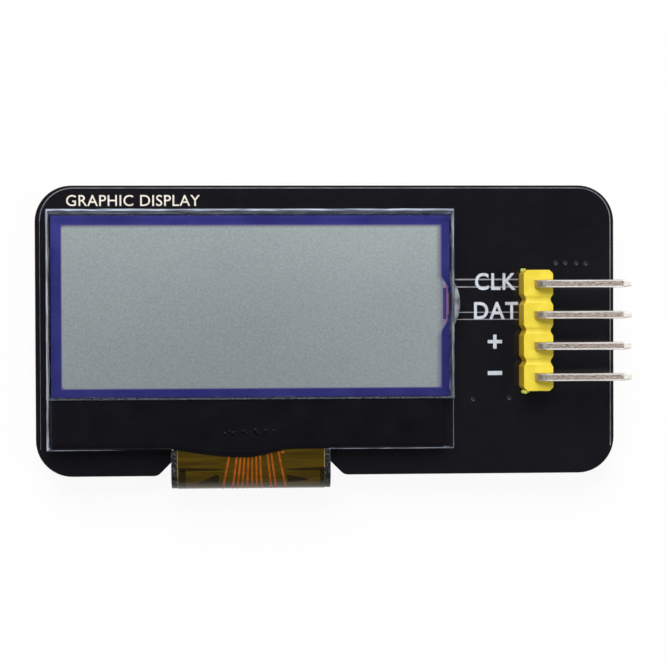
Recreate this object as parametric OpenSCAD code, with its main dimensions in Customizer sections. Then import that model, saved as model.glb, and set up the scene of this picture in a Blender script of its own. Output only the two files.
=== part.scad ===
// Reflective graphic LCD module, in millimetres.
// A bare glass display panel is taped to a small circuit board. A flex leaves the panel's contact
// ledge, folds through a notch in the board's edge and is soldered to the back. A pin header stands
// at the right, with its pins bent over towards the edge.
// The module lies on its back with the display up, and the origin is under the middle of its outline.

/* [Circuit board] */
// Width of the circuit board
board_w = 48; // [46:0.5:60]
// Height of the circuit board, in the plane of the display
board_h = 24; // [22.5:0.5:32]
// Thickness of the circuit board
board_t = 1.6; // [0.8:0.1:2.4]
// Radius of the board's corners
board_corner_r = 3; // [1:0.25:5]
// Depth of the notch that the flex folds through
notch_depth = 2.2; // [1.6:0.1:3]
// Length of the notch's slanted mouth, along the board's edge
notch_mouth = 1.1; // [0.4:0.1:1.4]
// Rounding where the mouth meets the board's edge
notch_round_r = 0.8; // [0.2:0.1:1]
// Gap between the flex and each side of the notch
notch_clearance = 0.07; // [0.05:0.01:0.4]

/* [Display panel] */
// Width of both glass plates
glass_w = 33.35; // [30:0.05:35]
// Height of the rear plate, with the contact ledge
rear_glass_h = 19.75; // [18.5:0.05:21]
// Height of the front plate
front_glass_h = 15.6; // [13:0.1:16]
// Thickness of each glass plate
glass_t = 0.7; // [0.4:0.05:1.1]
// Gap between the plates
cell_gap = 0.05; // [0.03:0.01:0.12]
// Thickness of each polariser film
film_t = 0.2; // [0.1:0.02:0.3]
// Thickness of the tape under the panel
tape_t = 0.25; // [0.1:0.05:0.8]
// Bare border around the tape pad, inside the rear polariser's edge
tape_margin = 1.2; // [0.5:0.1:3]
// Distance from the board's left edge to the glass
panel_left = 1.1; // [0.4:0.1:2]
// Height of the panel's middle above the board's middle
panel_rise = 0.1; // [-0.4:0.05:0.4]
// Bare glass at each side of the front polariser
film_side = 0.5; // [0.2:0.05:0.9]
// Bare glass above the front polariser
film_top = 0.55; // [0.2:0.05:0.9]
// Bare glass below the front polariser
film_bottom = 0.15; // [0.05:0.05:0.6]
// Distance from the glass edge to the sealing ring, at the sides and the top
seal_edge = 0.34; // [0.1:0.02:0.44]
// Distance from the front plate's lower edge to the sealing ring
seal_bottom = 0.18; // [0.1:0.02:0.44]
// Distance from the glass edge to the picture area, at the left
view_left = 1.16; // [0.9:0.02:1.6]
// Distance from the glass edge to the picture area, at the right
view_right = 1; // [0.94:0.02:1.6]
// Distance from the glass edge to the picture area, at the top
view_top = 1.27; // [0.9:0.01:1.6]
// Distance from the front plate's lower edge to the picture area
view_bottom = 0.86; // [0.7:0.02:1.4]
// Length of the straight side of the pocket inside the fill port
port_w = 2.8; // [2.64:0.02:4]
// Length of the slope at each end of that pocket
port_slope = 0.85; // [0.3:0.05:1.2]
// Depth of that pocket, into the sealing ring
port_pocket = 0.48; // [0.36:0.01:0.5]
// Width of the channel that leads out of the pocket
port_channel_w = 1.8; // [1:0.1:2.4]
// Width of the sealing island inside the pocket
island_w = 0.28; // [0.1:0.01:0.34]
// Length of that island
island_l = 2.6; // [2:0.05:2.75]
// How far the end seal's bead stands out from the glass edge
bead_proud = 0.5; // [0.2:0.05:0.8]
// Length of that bead along the glass edge
bead_w = 3.6; // [3:0.1:5]

/* [Contact ledge] */
// Length of the driver die
die_w = 7.2; // [5:0.1:9]
// Width of the driver die
die_h = 0.9; // [0.6:0.05:1.2]
// Thickness of the driver die
die_t = 0.28; // [0.15:0.01:0.3]
// Gap between the front plate and the driver die
die_gap = 1.1; // [0.6:0.05:1.3]
// Thickness of the silicone coat
coat_t = 0.42; // [0.36:0.02:0.6]
// Bare ledge at the left of the coat
coat_left = 0.25; // [0.1:0.05:1.5]
// Bare ledge at the right of the coat
coat_right = 0.95; // [0.1:0.05:1.5]
// Bare ledge below the coat
coat_bottom = 0.08; // [0.04:0.02:0.5]
// How far the coat swells out over the flex, past the glass edge
swell = 0.6; // [0.3:0.05:1.2]
// Length of that swelling to the left of its deepest place
swell_left = 5.5; // [4:0.1:5.5]
// Length of that swelling to the right of its deepest place
swell_right = 4; // [3:0.1:5]
// Distance of its deepest place to the left of the flex's middle
swell_shift = 0.5; // [0:0.1:0.5]

/* [Flex] */
// Width of the flexible circuit
flex_w = 12.12; // [11.8:0.02:14]
// Distance of the flex's middle to the left of the panel's middle
flex_shift = 0.08; // [0:0.02:0.5]
// Thickness of the flexible circuit
flex_t = 0.1; // [0.06:0.01:0.16]
// Length of the flex that is bonded to the ledge
flex_bond = 1.2; // [0.8:0.05:1.4]
// How far the fold stands out past the board's edge
flex_overhang = 1.08; // [0.6:0.02:1.6]
// Length of the flex on the board's back, past the fold
flex_tail = 6.4; // [4.5:0.1:7]
// Thickness of the black film behind the flex
backing_t = 0.06; // [0.04:0.01:0.1]
// How far the black film shows at each side of the flex
backing_side = 0.48; // [0.2:0.02:0.8]
// Length of the black film on the board's back, past the fold
backing_tail = 4.2; // [3:0.1:4.4]
// Width of a copper line
trace_w = 0.17; // [0.1:0.01:0.2]
// Thickness of a copper line
trace_t = 0.02; // [0.01:0.005:0.03]
// Pitch of the copper lines at the glass edge
trace_pitch = 0.3; // [0.26:0.01:0.36]
// Pitch of the copper lines at the outside of the fold
trace_fold_pitch = 0.4; // [0.36:0.01:0.5]
// Pitch of the copper lines where they are soldered to the board
trace_tail_pitch = 0.8; // [0.7:0.02:0.85]
// Distance of the lines' middle to the right of the flex's middle
trace_shift = 0.3; // [0:0.05:0.4]

/* [Pin header] */
// Distance from the pins to the board's right edge
header_inset = 6.75; // [6:0.05:8]
// Distance of the header's middle above the board's middle
header_rise = -0.07; // [-0.3:0.01:0.3]
// Distance between neighbouring pins
pin_pitch = 2.54; // [2:0.01:2.6]
// Side of the square pins
pin_w = 0.64; // [0.5:0.02:0.7]
// Width of a pin at its tip
pin_tip_w = 0.42; // [0.3:0.02:0.48]
// Length of the taper at a pin's ends
pin_taper = 0.68; // [0.3:0.02:0.7]
// Inner radius of the pins' bend
pin_bend_r = 0.3; // [0.2:0.02:0.6]
// Distance from a pin's upright leg to its free tip
pin_arm = 7.5; // [5:0.1:9]
// Length of the pins below the board
pin_tail = 1.4; // [1.3:0.05:2.2]
// Width of the header's moulding
header_w = 2.42; // [2:0.02:2.6]
// Height of the header's moulding
header_h = 2.5; // [2:0.05:3]
// Moulding past the outer pins
header_end = 1.15; // [0.9:0.01:1.25]
// Depth of the moulding's waists between the pins, at each side
header_cut = 0.26; // [0.1:0.01:0.4]
// Length of the slope from a cell's side down to its waist
header_cut_l = 0.44; // [0.2:0.02:0.7]
// Cut of the corners at the moulding's ends
header_corner = 0.3; // [0.1:0.01:0.5]
// Depth of the snapping groove across each waist
groove_t = 0.1; // [0.05:0.01:0.3]
// Width of that groove
groove_w = 0.66; // [0.2:0.02:0.8]
// Radius of the plated holes for the pins
hole_r = 0.52; // [0.51:0.01:0.6]

/* [Solder] */
// Radius of a header joint on the board
joint_r = 0.95; // [0.8:0.05:1.1]
// Height of a header joint
joint_h = 0.65; // [0.4:0.05:0.7]
// Radius of a header joint at its top
joint_tip_r = 0.48; // [0.46:0.01:0.55]
// Half the width of a flex joint
flex_joint_r = 0.26; // [0.24:0.01:0.32]
// Length of a flex joint
flex_joint_l = 1.3; // [0.9:0.05:1.6]

/* [Parts on the back] */
// Length of a chip capacitor or resistor
chip_l = 1.6; // [1.2:0.05:1.8]
// Width of a chip capacitor or resistor
chip_w = 0.8; // [0.6:0.05:0.95]
// Height of a chip capacitor
capacitor_h = 0.8; // [0.5:0.05:0.95]
// Height of a chip resistor
resistor_h = 0.45; // [0.35:0.05:0.6]
// Length of a chip's metal ends
chip_end = 0.32; // [0.2:0.02:0.4]
// Thickness of the metal on a chip's ends
chip_end_t = 0.025; // [0.015:0.005:0.04]
// Spacing of the row of charge-pump capacitors
capacitor_pitch = 1.9; // [1.5:0.05:2.1]
// Gap between the flex joints and that row
capacitor_gap = 1; // [0.5:0.05:1.6]
// Length of a transistor package
package_l = 2.9; // [2.6:0.05:3]
// Width of a transistor package, without leads
package_w = 1.3; // [1.1:0.05:1.4]
// Thickness of a transistor package
package_h = 0.95; // [0.8:0.05:1]
// Gap under a transistor package
package_lift = 0.06; // [0.03:0.01:0.12]
// Draft of the package's sides
package_draft = 0.09; // [0.04:0.01:0.14]
// Width of a transistor package across its leads
leads_w = 2.4; // [2.2:0.05:2.6]
// Spacing of the two leads on one side
lead_pitch = 1.9; // [1.7:0.05:1.9]
// Width of a lead
lead_w = 0.42; // [0.3:0.02:0.5]
// Thickness of a lead
lead_t = 0.13; // [0.08:0.01:0.16]
// Length of a lead's foot on the board
lead_foot = 0.32; // [0.2:0.02:0.36]

/* [Hidden] */
$fn = 64;
// Extra length of a cut, so that it passes through the face it opens
over = 1;
pin_count = 4;

// Heights, from the surface that the pin tails stand on
back_z = pin_tail;
front_z = back_z + board_t;
rear_film_z = front_z + tape_t;
rear_glass_z = rear_film_z + film_t;
ledge_z = rear_glass_z + glass_t;
front_glass_z = ledge_z + cell_gap;
front_film_z = front_glass_z + glass_t;
header_top_z = front_z + header_h;

// The panel, with the board's middle at zero
panel_x = -board_w / 2 + panel_left + glass_w / 2;
panel_right = panel_x + glass_w / 2;
panel_top = panel_rise + rear_glass_h / 2;
panel_bottom = panel_top - rear_glass_h;
front_bottom = panel_top - front_glass_h;
front_mid = panel_top - front_glass_h / 2;
port_mouth_x = panel_right - seal_edge;
picture_right = panel_right - view_right;
bead_r = (pow(bead_w / 2, 2) + pow(bead_proud, 2)) / (2 * bead_proud);
die_top = front_bottom - die_gap;

// The flex's middle, and its fold in the plane across the board's edge
flex_x = panel_x - flex_shift;
fold_r = (ledge_z - back_z + backing_t) / 2 + flex_t;
fold_z = ledge_z + flex_t - fold_r;
fold_y = -board_h / 2 - flex_overhang + fold_r;
flex_end = fold_y + flex_tail;
backing_w = flex_w + 2 * backing_side;
notch_w = backing_w + 2 * notch_clearance;
notch_floor = -board_h / 2 + notch_depth;
// Places of the copper lines among equal steps: some steps are unused
trace_slots = [0, 2, 3, 4, 5, 6, 7, 8, 10, 11, 13];
trace_middle = 6.5;
trace_x = flex_x + trace_shift;

// The header and the outline of the whole module
header_x = board_w / 2 - header_inset;
header_l = (pin_count - 1) * pin_pitch + 2 * header_end;
module_right = max(board_w / 2, header_x + pin_arm);
module_bottom = -board_h / 2 - flex_overhang - trace_t;
middle_x = (module_right - board_w / 2) / 2;
middle_y = (board_h / 2 + module_bottom) / 2;

// Places of the parts on the back: the charge-pump row follows the flex, the rest the header
row_y = flex_end + flex_joint_l / 2 + capacitor_gap + chip_l / 2;
row_count = 6;
regulator_place = [-6.4, -3.6];
supply_capacitors = [[-9.2, -3.6], [-3.6, -3.6]];
shifter_places = [[-6.4, 5.6], [-6.4, 1.6]];
resistor_places = [[-3.2, 6.4], [-3.2, 4.8], [-3.2, 2.4], [-3.2, 0.8]];

function pin_y(i) = header_rise + ((pin_count + 1) / 2 - i) * pin_pitch;

module placed() {
    translate([-middle_x, -middle_y, 0]) children();
}

// A rectangle given by its sides
module sides(left, right, bottom, top) {
    translate([left, bottom]) square([right - left, top - bottom]);
}

module rounded_rectangle(w, h, r) {
    square([w - 2 * r, h], center = true);
    square([w, h - 2 * r], center = true);
    for (x = [-1, 1], y = [-1, 1])
        translate([x * (w / 2 - r), y * (h / 2 - r)]) circle(r);
}

// The notch has straight sides, a 45 degree mouth and a rounded edge where the mouth opens
module notch_outline() {
    half = notch_w / 2;
    edge = -board_h / 2;
    turn = notch_round_r * tan(22.5);
    arc = [for (a = [0 : 7.5 : 45])
        [half + notch_mouth + turn - notch_round_r * sin(a), edge + notch_round_r * (1 - cos(a))]];
    right = concat([[half + notch_mouth + turn, edge - over]], arc,
        [[half, edge + notch_mouth], [half, notch_floor]]);
    left = [for (i = [len(right) - 1 : -1 : 0]) [-right[i][0], right[i][1]]];
    translate([flex_x, 0]) polygon(concat(right, left));
}

module circuit_board() {
    color("#18181c") placed() translate([0, 0, back_z]) linear_extrude(board_t) difference() {
        rounded_rectangle(board_w, board_h, board_corner_r);
        notch_outline();
        for (i = [1 : pin_count]) translate([header_x, pin_y(i)]) circle(hole_r);
    }
}

module panel_tape() {
    color("#232325") placed() translate([0, 0, front_z]) linear_extrude(tape_t)
        film_outline(tape_margin);
}

module rear_polariser() {
    color("#9ea7a5") placed() translate([0, 0, rear_film_z]) linear_extrude(film_t)
        film_outline(0);
}

// The outline of both polarisers, or of what lies inside it by a margin
module film_outline(margin) {
    sides(panel_x - glass_w / 2 + film_side + margin, panel_right - film_side - margin,
        front_bottom + film_bottom + margin, panel_top - film_top - margin);
}

module front_outline() {
    sides(panel_x - glass_w / 2, panel_right, front_bottom, panel_top);
}

module rear_glass() {
    color("#c8d4d6", 0.5) placed() translate([0, 0, rear_glass_z]) linear_extrude(glass_t)
        sides(panel_x - glass_w / 2, panel_right, panel_bottom, panel_top);
}

module front_glass() {
    color("#c8d4d6", 0.5) placed() translate([0, 0, front_glass_z]) linear_extrude(glass_t)
        front_outline();
}

module front_polariser() {
    color("#98a2a2", 0.6) placed() translate([0, 0, front_film_z]) linear_extrude(film_t)
        film_outline(0);
}

module seal_outline() {
    sides(panel_x - glass_w / 2 + seal_edge, port_mouth_x,
        front_bottom + seal_bottom, panel_top - seal_edge);
}

module island_outline() {
    translate([picture_right + port_pocket / 2 - island_w / 2, front_mid - island_l / 2])
        square([island_w, island_l]);
}

// The picture area, with the pocket and the channel at its right that the cell was filled through
module fill_outline() {
    picture_left = panel_x - glass_w / 2 + view_left;
    low = front_bottom + view_bottom;
    high = panel_top - view_top;
    pocket_x = picture_right + port_pocket;
    pocket_half = port_w / 2;
    mouth_half = pocket_half + port_slope;
    channel_half = port_channel_w / 2;
    polygon([
        [picture_left, high], [picture_left, low], [picture_right, low],
        [picture_right, front_mid - mouth_half], [pocket_x, front_mid - pocket_half],
        [pocket_x, front_mid - channel_half], [port_mouth_x, front_mid - channel_half],
        [port_mouth_x, front_mid + channel_half], [pocket_x, front_mid + channel_half],
        [pocket_x, front_mid + pocket_half], [picture_right, front_mid + mouth_half],
        [picture_right, high]
    ]);
}

module cell_seal() {
    color("#2f2b78") placed() translate([0, 0, ledge_z]) linear_extrude(cell_gap) {
        difference() {
            seal_outline();
            fill_outline();
        }
        island_outline();
    }
}

module liquid_crystal() {
    color("#9da6a3") placed() translate([0, 0, ledge_z]) linear_extrude(cell_gap) difference() {
        fill_outline();
        island_outline();
    }
}

// A lens-shaped bead on the edges of both plates, with a tongue up to the sealing ring
module end_seal() {
    reach = bead_r - bead_proud;
    color("#aab4b8", 0.6) placed() {
        intersection() {
            translate([panel_right - reach, front_mid, ledge_z + cell_gap / 2]) sphere(bead_r, $fn = 256);
            translate([panel_right, front_mid - bead_w / 2, ledge_z - glass_t * 0.9])
                cube([bead_proud, bead_w, cell_gap + glass_t * 1.8]);
        }
        translate([0, 0, ledge_z]) linear_extrude(cell_gap)
            sides(port_mouth_x, panel_right, front_mid - port_channel_w / 2,
                front_mid + port_channel_w / 2);
    }
}

module die_outline() {
    sides(panel_x - die_w / 2, panel_x + die_w / 2, die_top - die_h, die_top);
}

module driver_chip() {
    color("#3c3c46") placed() translate([0, 0, ledge_z]) linear_extrude(die_t) die_outline();
}

// The silicone fills the ledge beside the front plate and swells out over the root of the flex
module swell_outline() {
    steps = 10;
    middle = flex_x - swell_shift;
    shore = panel_bottom + coat_bottom;
    polygon([for (i = [-steps : steps])
        let (share = i / steps, length = share < 0 ? swell_left : swell_right)
        [middle + share * length, shore - (swell + coat_bottom) * pow(1 - share * share, 2)]]);
}

module ledge_coating() {
    lines_t = flex_t + trace_t;
    color("#151517") placed() translate([0, 0, ledge_z]) difference() {
        union() {
            linear_extrude(coat_t)
                sides(panel_x - glass_w / 2 + coat_left, panel_right - coat_right,
                    panel_bottom + coat_bottom, front_bottom);
            translate([0, 0, lines_t]) linear_extrude(coat_t - lines_t) swell_outline();
        }
        translate([0, 0, -over]) linear_extrude(die_t + over) die_outline();
        translate([0, 0, -over]) linear_extrude(lines_t + over)
            sides(flex_x - flex_w / 2, flex_x + flex_w / 2, panel_bottom - over,
                panel_bottom + flex_bond);
    }
}

// A strip of thickness t that folds from the ledge round to the board's back, seen from its side:
// r is its outer radius at the fold
module fold_profile(r, t, ledge_end, back_end) {
    difference() {
        circle(r);
        circle(r - t);
        translate([0, -2 * r]) square([2 * r, 4 * r]);
    }
    translate([0, r - t]) square([ledge_end - fold_y, t]);
    translate([0, -r]) square([back_end - fold_y, t]);
}

module folded_strip(w, r, t, ledge_end, back_end) {
    translate([flex_x - w / 2, fold_y, fold_z]) rotate([90, 0, 90]) linear_extrude(w)
        fold_profile(r, t, ledge_end, back_end);
}

module flex_circuit() {
    color("#5a430e") placed()
        folded_strip(flex_w, fold_r, flex_t, panel_bottom + flex_bond, flex_end);
}

module flex_backing() {
    color("#26262a") placed()
        folded_strip(backing_w, fold_r - flex_t, backing_t, panel_bottom, fold_y + backing_tail);
}

// One copper line in plan, from a step of one pitch to the same step of another
module trace_outline(slot, y0, pitch0, y1, pitch1) {
    x0 = trace_x + (slot - trace_middle) * pitch0;
    x1 = trace_x + (slot - trace_middle) * pitch1;
    half = trace_w / 2;
    polygon([[x0 - half, y0], [x0 + half, y0], [x1 + half, y1], [x1 - half, y1]]);
}

// The lines fan out as they go: one fan on the ledge side of the fold, one on the back
module flex_traces() {
    fold_out = fold_y - fold_r - trace_t;
    bond_end = panel_bottom + flex_bond;
    bond_pitch = trace_pitch - (trace_fold_pitch - trace_pitch) * flex_bond / (panel_bottom - fold_out);
    color("#b8611c") placed() intersection() {
        folded_strip(flex_w, fold_r + trace_t, trace_t, bond_end, flex_end);
        for (slot = trace_slots) {
            translate([0, 0, fold_z]) linear_extrude(2 * fold_r)
                trace_outline(slot, bond_end, bond_pitch, fold_out, trace_fold_pitch);
            translate([0, 0, fold_z - 2 * fold_r]) linear_extrude(2 * fold_r)
                trace_outline(slot, flex_end, trace_tail_pitch, fold_out, trace_fold_pitch);
        }
    }
}

// Low rounded joints that lap over the end of the flex
module flex_solder() {
    straight = flex_joint_l - 2 * flex_joint_r;
    color("#c8c9cc") placed() difference() {
        for (slot = trace_slots)
            translate([trace_x + (slot - trace_middle) * trace_tail_pitch, flex_end, back_z]) {
                rotate([90, 0, 0]) cylinder(h = straight, r = flex_joint_r, center = true);
                for (end = [-1, 1]) translate([0, end * straight / 2, 0]) sphere(flex_joint_r);
            }
        translate([-board_w, -board_h, back_z]) cube([2 * board_w, 2 * board_h, board_t]);
        translate([-board_w, flex_end - flex_tail, back_z - backing_t - flex_t - trace_t])
            cube([2 * board_w, flex_tail, backing_t + flex_t + trace_t + over]);
    }
}

module header_cell() {
    half = header_w / 2;
    reach = pin_pitch / 2;
    polygon([
        [-half, -reach + header_cut_l], [-half + header_cut, -reach], [half - header_cut, -reach],
        [half, -reach + header_cut_l], [half, reach - header_cut_l], [half - header_cut, reach],
        [-half + header_cut, reach], [-half, reach - header_cut_l]
    ]);
}

// A row of eight-sided cells that share waists, drilled square for the pins
module header_body() {
    color("#eed62c") placed() translate([header_x, 0, front_z]) difference() {
        linear_extrude(header_h) intersection() {
            for (i = [1 : pin_count]) translate([0, pin_y(i)]) header_cell();
            translate([0, header_rise]) end_cut_rectangle(header_w, header_l, header_corner);
        }
        for (i = [1 : pin_count]) translate([0, pin_y(i), -over])
            linear_extrude(header_h + 2 * over) square(pin_w, center = true);
        for (i = [1 : pin_count - 1])
            translate([-header_w / 2 - over, pin_y(i) - pin_pitch / 2, header_h])
                rotate([90, 0, 90]) linear_extrude(header_w + 2 * over)
                    polygon([[-groove_w / 2, 0], [0, -groove_t], [groove_w / 2, 0]]);
    }
}

module end_cut_rectangle(w, l, cut) {
    square([w, l - 2 * cut], center = true);
    polygon([
        [-w / 2, -l / 2 + cut], [-w / 2 + cut, -l / 2], [w / 2 - cut, -l / 2], [w / 2, -l / 2 + cut],
        [w / 2, l / 2 - cut], [w / 2 - cut, l / 2], [-w / 2 + cut, l / 2], [-w / 2, l / 2 - cut]
    ]);
}

// A pin from the side: tapered tail, upright leg, round bend and tapered arm
module pin_profile() {
    half = pin_w / 2;
    tip = pin_tip_w / 2;
    bend_x = half + pin_bend_r;
    arm_z = header_top_z + pin_bend_r + half;
    polygon([[-tip, 0], [tip, 0], [half, pin_taper], [half, header_top_z],
        [-half, header_top_z], [-half, pin_taper]]);
    translate([bend_x, header_top_z]) intersection() {
        difference() {
            circle(pin_bend_r + pin_w);
            circle(pin_bend_r);
        }
        translate([-bend_x - over, 0]) square(bend_x + over);
    }
    polygon([[bend_x, arm_z - half], [pin_arm - pin_taper, arm_z - half], [pin_arm, arm_z - tip],
        [pin_arm, arm_z + tip], [pin_arm - pin_taper, arm_z + half], [bend_x, arm_z + half]]);
}

// Two wedges that taper the sides of a tip, whose end is at zero along +X
module tip_wedges() {
    half = pin_w / 2;
    tip = pin_tip_w / 2;
    for (side = [-1, 1])
        linear_extrude(2 * pin_w, center = true)
            polygon([[-pin_taper, side * half], [0, side * tip], [over, side * tip],
                [over, side * pin_w], [-pin_taper, side * pin_w]]);
}

module header_pin(i) {
    arm_z = header_top_z + pin_bend_r + pin_w / 2;
    color("#cfcac2") placed() translate([header_x, pin_y(i), 0]) difference() {
        rotate([90, 0, 0]) linear_extrude(pin_w, center = true) pin_profile();
        translate([pin_arm, 0, arm_z]) tip_wedges();
        rotate([0, 90, 0]) tip_wedges();
    }
}

// A joint fills its plated hole and draws up round the pin in a hollow curve
module header_solder() {
    rise = [for (a = [0 : 15 : 90])
        [joint_r - (joint_r - joint_tip_r) * sin(a), back_z - joint_h + joint_h * cos(a)]];
    color("#c8c9cc") placed() for (i = [1 : pin_count])
        translate([header_x, pin_y(i), 0]) difference() {
            union() {
                rotate_extrude() polygon(concat([[0, back_z]], rise, [[0, back_z - joint_h]]));
                translate([0, 0, back_z]) cylinder(h = board_t, r = hole_r);
            }
            linear_extrude(front_z + over) square(pin_w, center = true);
        }
}

// A chip capacitor or resistor on the back, lying along X
module chip(place, height, turn) {
    body_w = chip_w - 2 * chip_end_t;
    body_h = height - 2 * chip_end_t;
    translate([place[0], place[1], back_z - height / 2]) rotate([0, 0, turn]) {
        cube([chip_l - 2 * chip_end_t, body_w, body_h], center = true);
        for (end = [-1, 1])
            translate([end * (chip_l - chip_end) / 2, 0, 0]) cube([chip_end, chip_w, height], center = true);
    }
}

function by_header(place) = [header_x + place[0], place[1]];

module capacitor(i) {
    color("#b58a5c") placed()
        if (i <= row_count)
            chip([flex_x + (i - (row_count + 1) / 2) * capacitor_pitch, row_y], capacitor_h, 90);
        else
            chip(by_header(supply_capacitors[i - row_count - 1]), capacitor_h, 90);
}

module resistor(i) {
    color("#2a2a2e") placed() chip(by_header(resistor_places[i - 1]), resistor_h, 0);
}

// A transistor package hangs under the board, so its heights count downwards from the back face
module on_back(place) {
    translate([place[0], place[1], back_z]) rotate([180, 0, 0]) children();
}

module package_section(w) {
    low = package_lift;
    mid = package_lift + package_h / 2;
    high = package_lift + package_h;
    half = w / 2;
    polygon([[-half + package_draft, low], [half - package_draft, low], [half, mid],
        [half - package_draft, high], [-half + package_draft, high], [-half, mid]]);
}

module package_leads() {
    mid = package_lift + package_h / 2;
    root = package_w / 2 - package_draft * 2;
    knee = leads_w / 2 - lead_foot;
    for (lead = [[-lead_pitch / 2, -1], [lead_pitch / 2, -1], [0, 1]])
        translate([lead[0] - lead_w / 2, 0, 0]) scale_side(lead[1])
            rotate([90, 0, 90]) linear_extrude(lead_w)
                polygon([[root, mid - lead_t / 2], [knee - lead_t, mid - lead_t / 2], [knee - lead_t, 0],
                    [leads_w / 2, 0], [leads_w / 2, lead_t], [knee, lead_t], [knee, mid + lead_t / 2],
                    [root, mid + lead_t / 2]]);
}

module scale_side(side) {
    if (side > 0) children();
    else mirror([0, 1, 0]) children();
}

module package_body() {
    difference() {
        intersection() {
            rotate([90, 0, 90]) linear_extrude(package_l, center = true) package_section(package_w);
            rotate([90, 0, 0]) linear_extrude(package_w, center = true) package_section(package_l);
        }
        package_leads();
    }
}

module transistor_body(place) {
    color("#1d1d20") placed() on_back(by_header(place)) package_body();
}

module transistor_leads(place) {
    color("#c8c9cc") placed() on_back(by_header(place)) package_leads();
}

circuit_board();
panel_tape();
rear_polariser();
rear_glass();
cell_seal();
liquid_crystal();
front_glass();
front_polariser();
end_seal();
driver_chip();
ledge_coating();
flex_circuit();
flex_traces();
flex_backing();
flex_solder();
header_body();
for (i = [1 : pin_count])
    header_pin(i);
header_solder();
transistor_body(regulator_place);  // regulator_body
transistor_leads(regulator_place);  // regulator_leads
for (i = [1 : len(shifter_places)]) {
    transistor_body(shifter_places[i - 1]);
    transistor_leads(shifter_places[i - 1]);
}
for (i = [1 : row_count + len(supply_capacitors)])
    capacitor(i);
for (i = [1 : len(resistor_places)])
    resistor(i);
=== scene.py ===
import math

import bmesh
import bpy
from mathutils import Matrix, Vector, noise


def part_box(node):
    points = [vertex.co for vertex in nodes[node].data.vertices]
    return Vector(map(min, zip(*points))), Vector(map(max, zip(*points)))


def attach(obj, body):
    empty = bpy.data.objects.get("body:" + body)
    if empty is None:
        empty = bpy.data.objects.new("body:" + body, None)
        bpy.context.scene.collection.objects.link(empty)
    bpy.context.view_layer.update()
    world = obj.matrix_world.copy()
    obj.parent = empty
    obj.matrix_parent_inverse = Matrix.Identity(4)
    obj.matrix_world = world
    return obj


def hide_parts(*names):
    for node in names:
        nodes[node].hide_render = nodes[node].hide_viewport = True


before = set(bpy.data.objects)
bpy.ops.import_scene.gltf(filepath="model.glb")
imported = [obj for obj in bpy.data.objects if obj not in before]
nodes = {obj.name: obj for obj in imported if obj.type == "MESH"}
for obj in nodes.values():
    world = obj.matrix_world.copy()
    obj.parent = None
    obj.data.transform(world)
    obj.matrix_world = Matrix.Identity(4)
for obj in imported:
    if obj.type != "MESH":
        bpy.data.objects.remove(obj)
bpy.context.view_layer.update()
scene = bpy.context.scene
scene.view_settings.view_transform = "Standard"
mm = 0.001
print("frame loaded,", len(nodes), "solids")

# everything below is placed in millimetres from the middle of the board's front face
boardLow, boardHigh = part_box("circuit_board")
boardMid = (boardLow + boardHigh) / 2
boardThick = (boardHigh.z - boardLow.z) / mm


def onBoard(x, y, z=0.0):
    return Vector((boardMid.x + x * mm, boardMid.y + y * mm, boardHigh.z + z * mm))


def boardBox(nodeName):
    low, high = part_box(nodeName)
    middle = Vector((boardMid.x, boardMid.y, boardHigh.z))
    return (low - middle) / mm, (high - middle) / mm


def linear(hexCode):
    channels = [int(hexCode[i:i + 2], 16) / 255 for i in (1, 3, 5)]
    return [c / 12.92 if c <= 0.04045 else ((c + 0.055) / 1.055) ** 2.4 for c in channels] + [1.0]


# adds a node and gives an output: a key is a socket or a setting, and a value that is a socket becomes a link
def addNode(tree, kind, settings, output=0):
    node = tree.nodes.new(kind if "Node" in kind else "ShaderNode" + kind)
    for key, value in settings.items():
        if isinstance(key, str) and key not in node.inputs:
            setattr(node, key, value)
        elif isinstance(value, bpy.types.NodeSocket):
            tree.links.new(value, node.inputs[key])
        else:
            node.inputs[key].default_value = value
    return node.outputs[output] if node.outputs else None


rowKeys = {  # what the values of a row fill, in order
    "Math": ("operation", 0, 1, 2),
    "MapRange": ("Value", "From Min", "From Max", "To Min", "To Max", "interpolation_type"),
    "Mix": ("data_type", "blend_type", 0, 6, 7),
}


# adds nodes from rows of a name, a kind or a sum to do, and the values; a name known already means its output
def addRows(tree, known, rows):
    for name, kind, *values in rows:
        values = [known.get(value, value) if isinstance(value, str) else value for value in values]
        if kind not in rowKeys:
            kind, values = "Math", [kind] + values
        known[name] = addNode(tree, kind, dict(zip(rowKeys[kind], values)), 2 if kind == "Mix" else 0)


def newMaterial(name):
    material = bpy.data.materials.new(name)
    material.use_nodes = True
    return material, material.node_tree


def showAs(tree, shader):
    tree.links.new(shader, tree.nodes["Material Output"].inputs["Surface"])


# Camera, at the photograph's viewing angle

view = {
    "spot": (-5.359, 1.367, 130.0),
    "turn": (-0.693, -2.592, -0.230),
    "lens": 84.81,
    "sensor": 36.0,
    "clip": (0.001, 20.0),
}
cameraData = bpy.data.cameras.new("camera")
cameraData.lens = view["lens"]
cameraData.sensor_width = view["sensor"]
cameraData.clip_start, cameraData.clip_end = view["clip"]
camera = bpy.data.objects.new("camera", cameraData)
camera.location = onBoard(*view["spot"])
camera.rotation_euler = [math.radians(a) for a in view["turn"]]
scene.collection.objects.link(camera)
scene.camera = camera

# Studio: soft boxes behind and at the right, while the left and the ceiling stay dim

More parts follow.
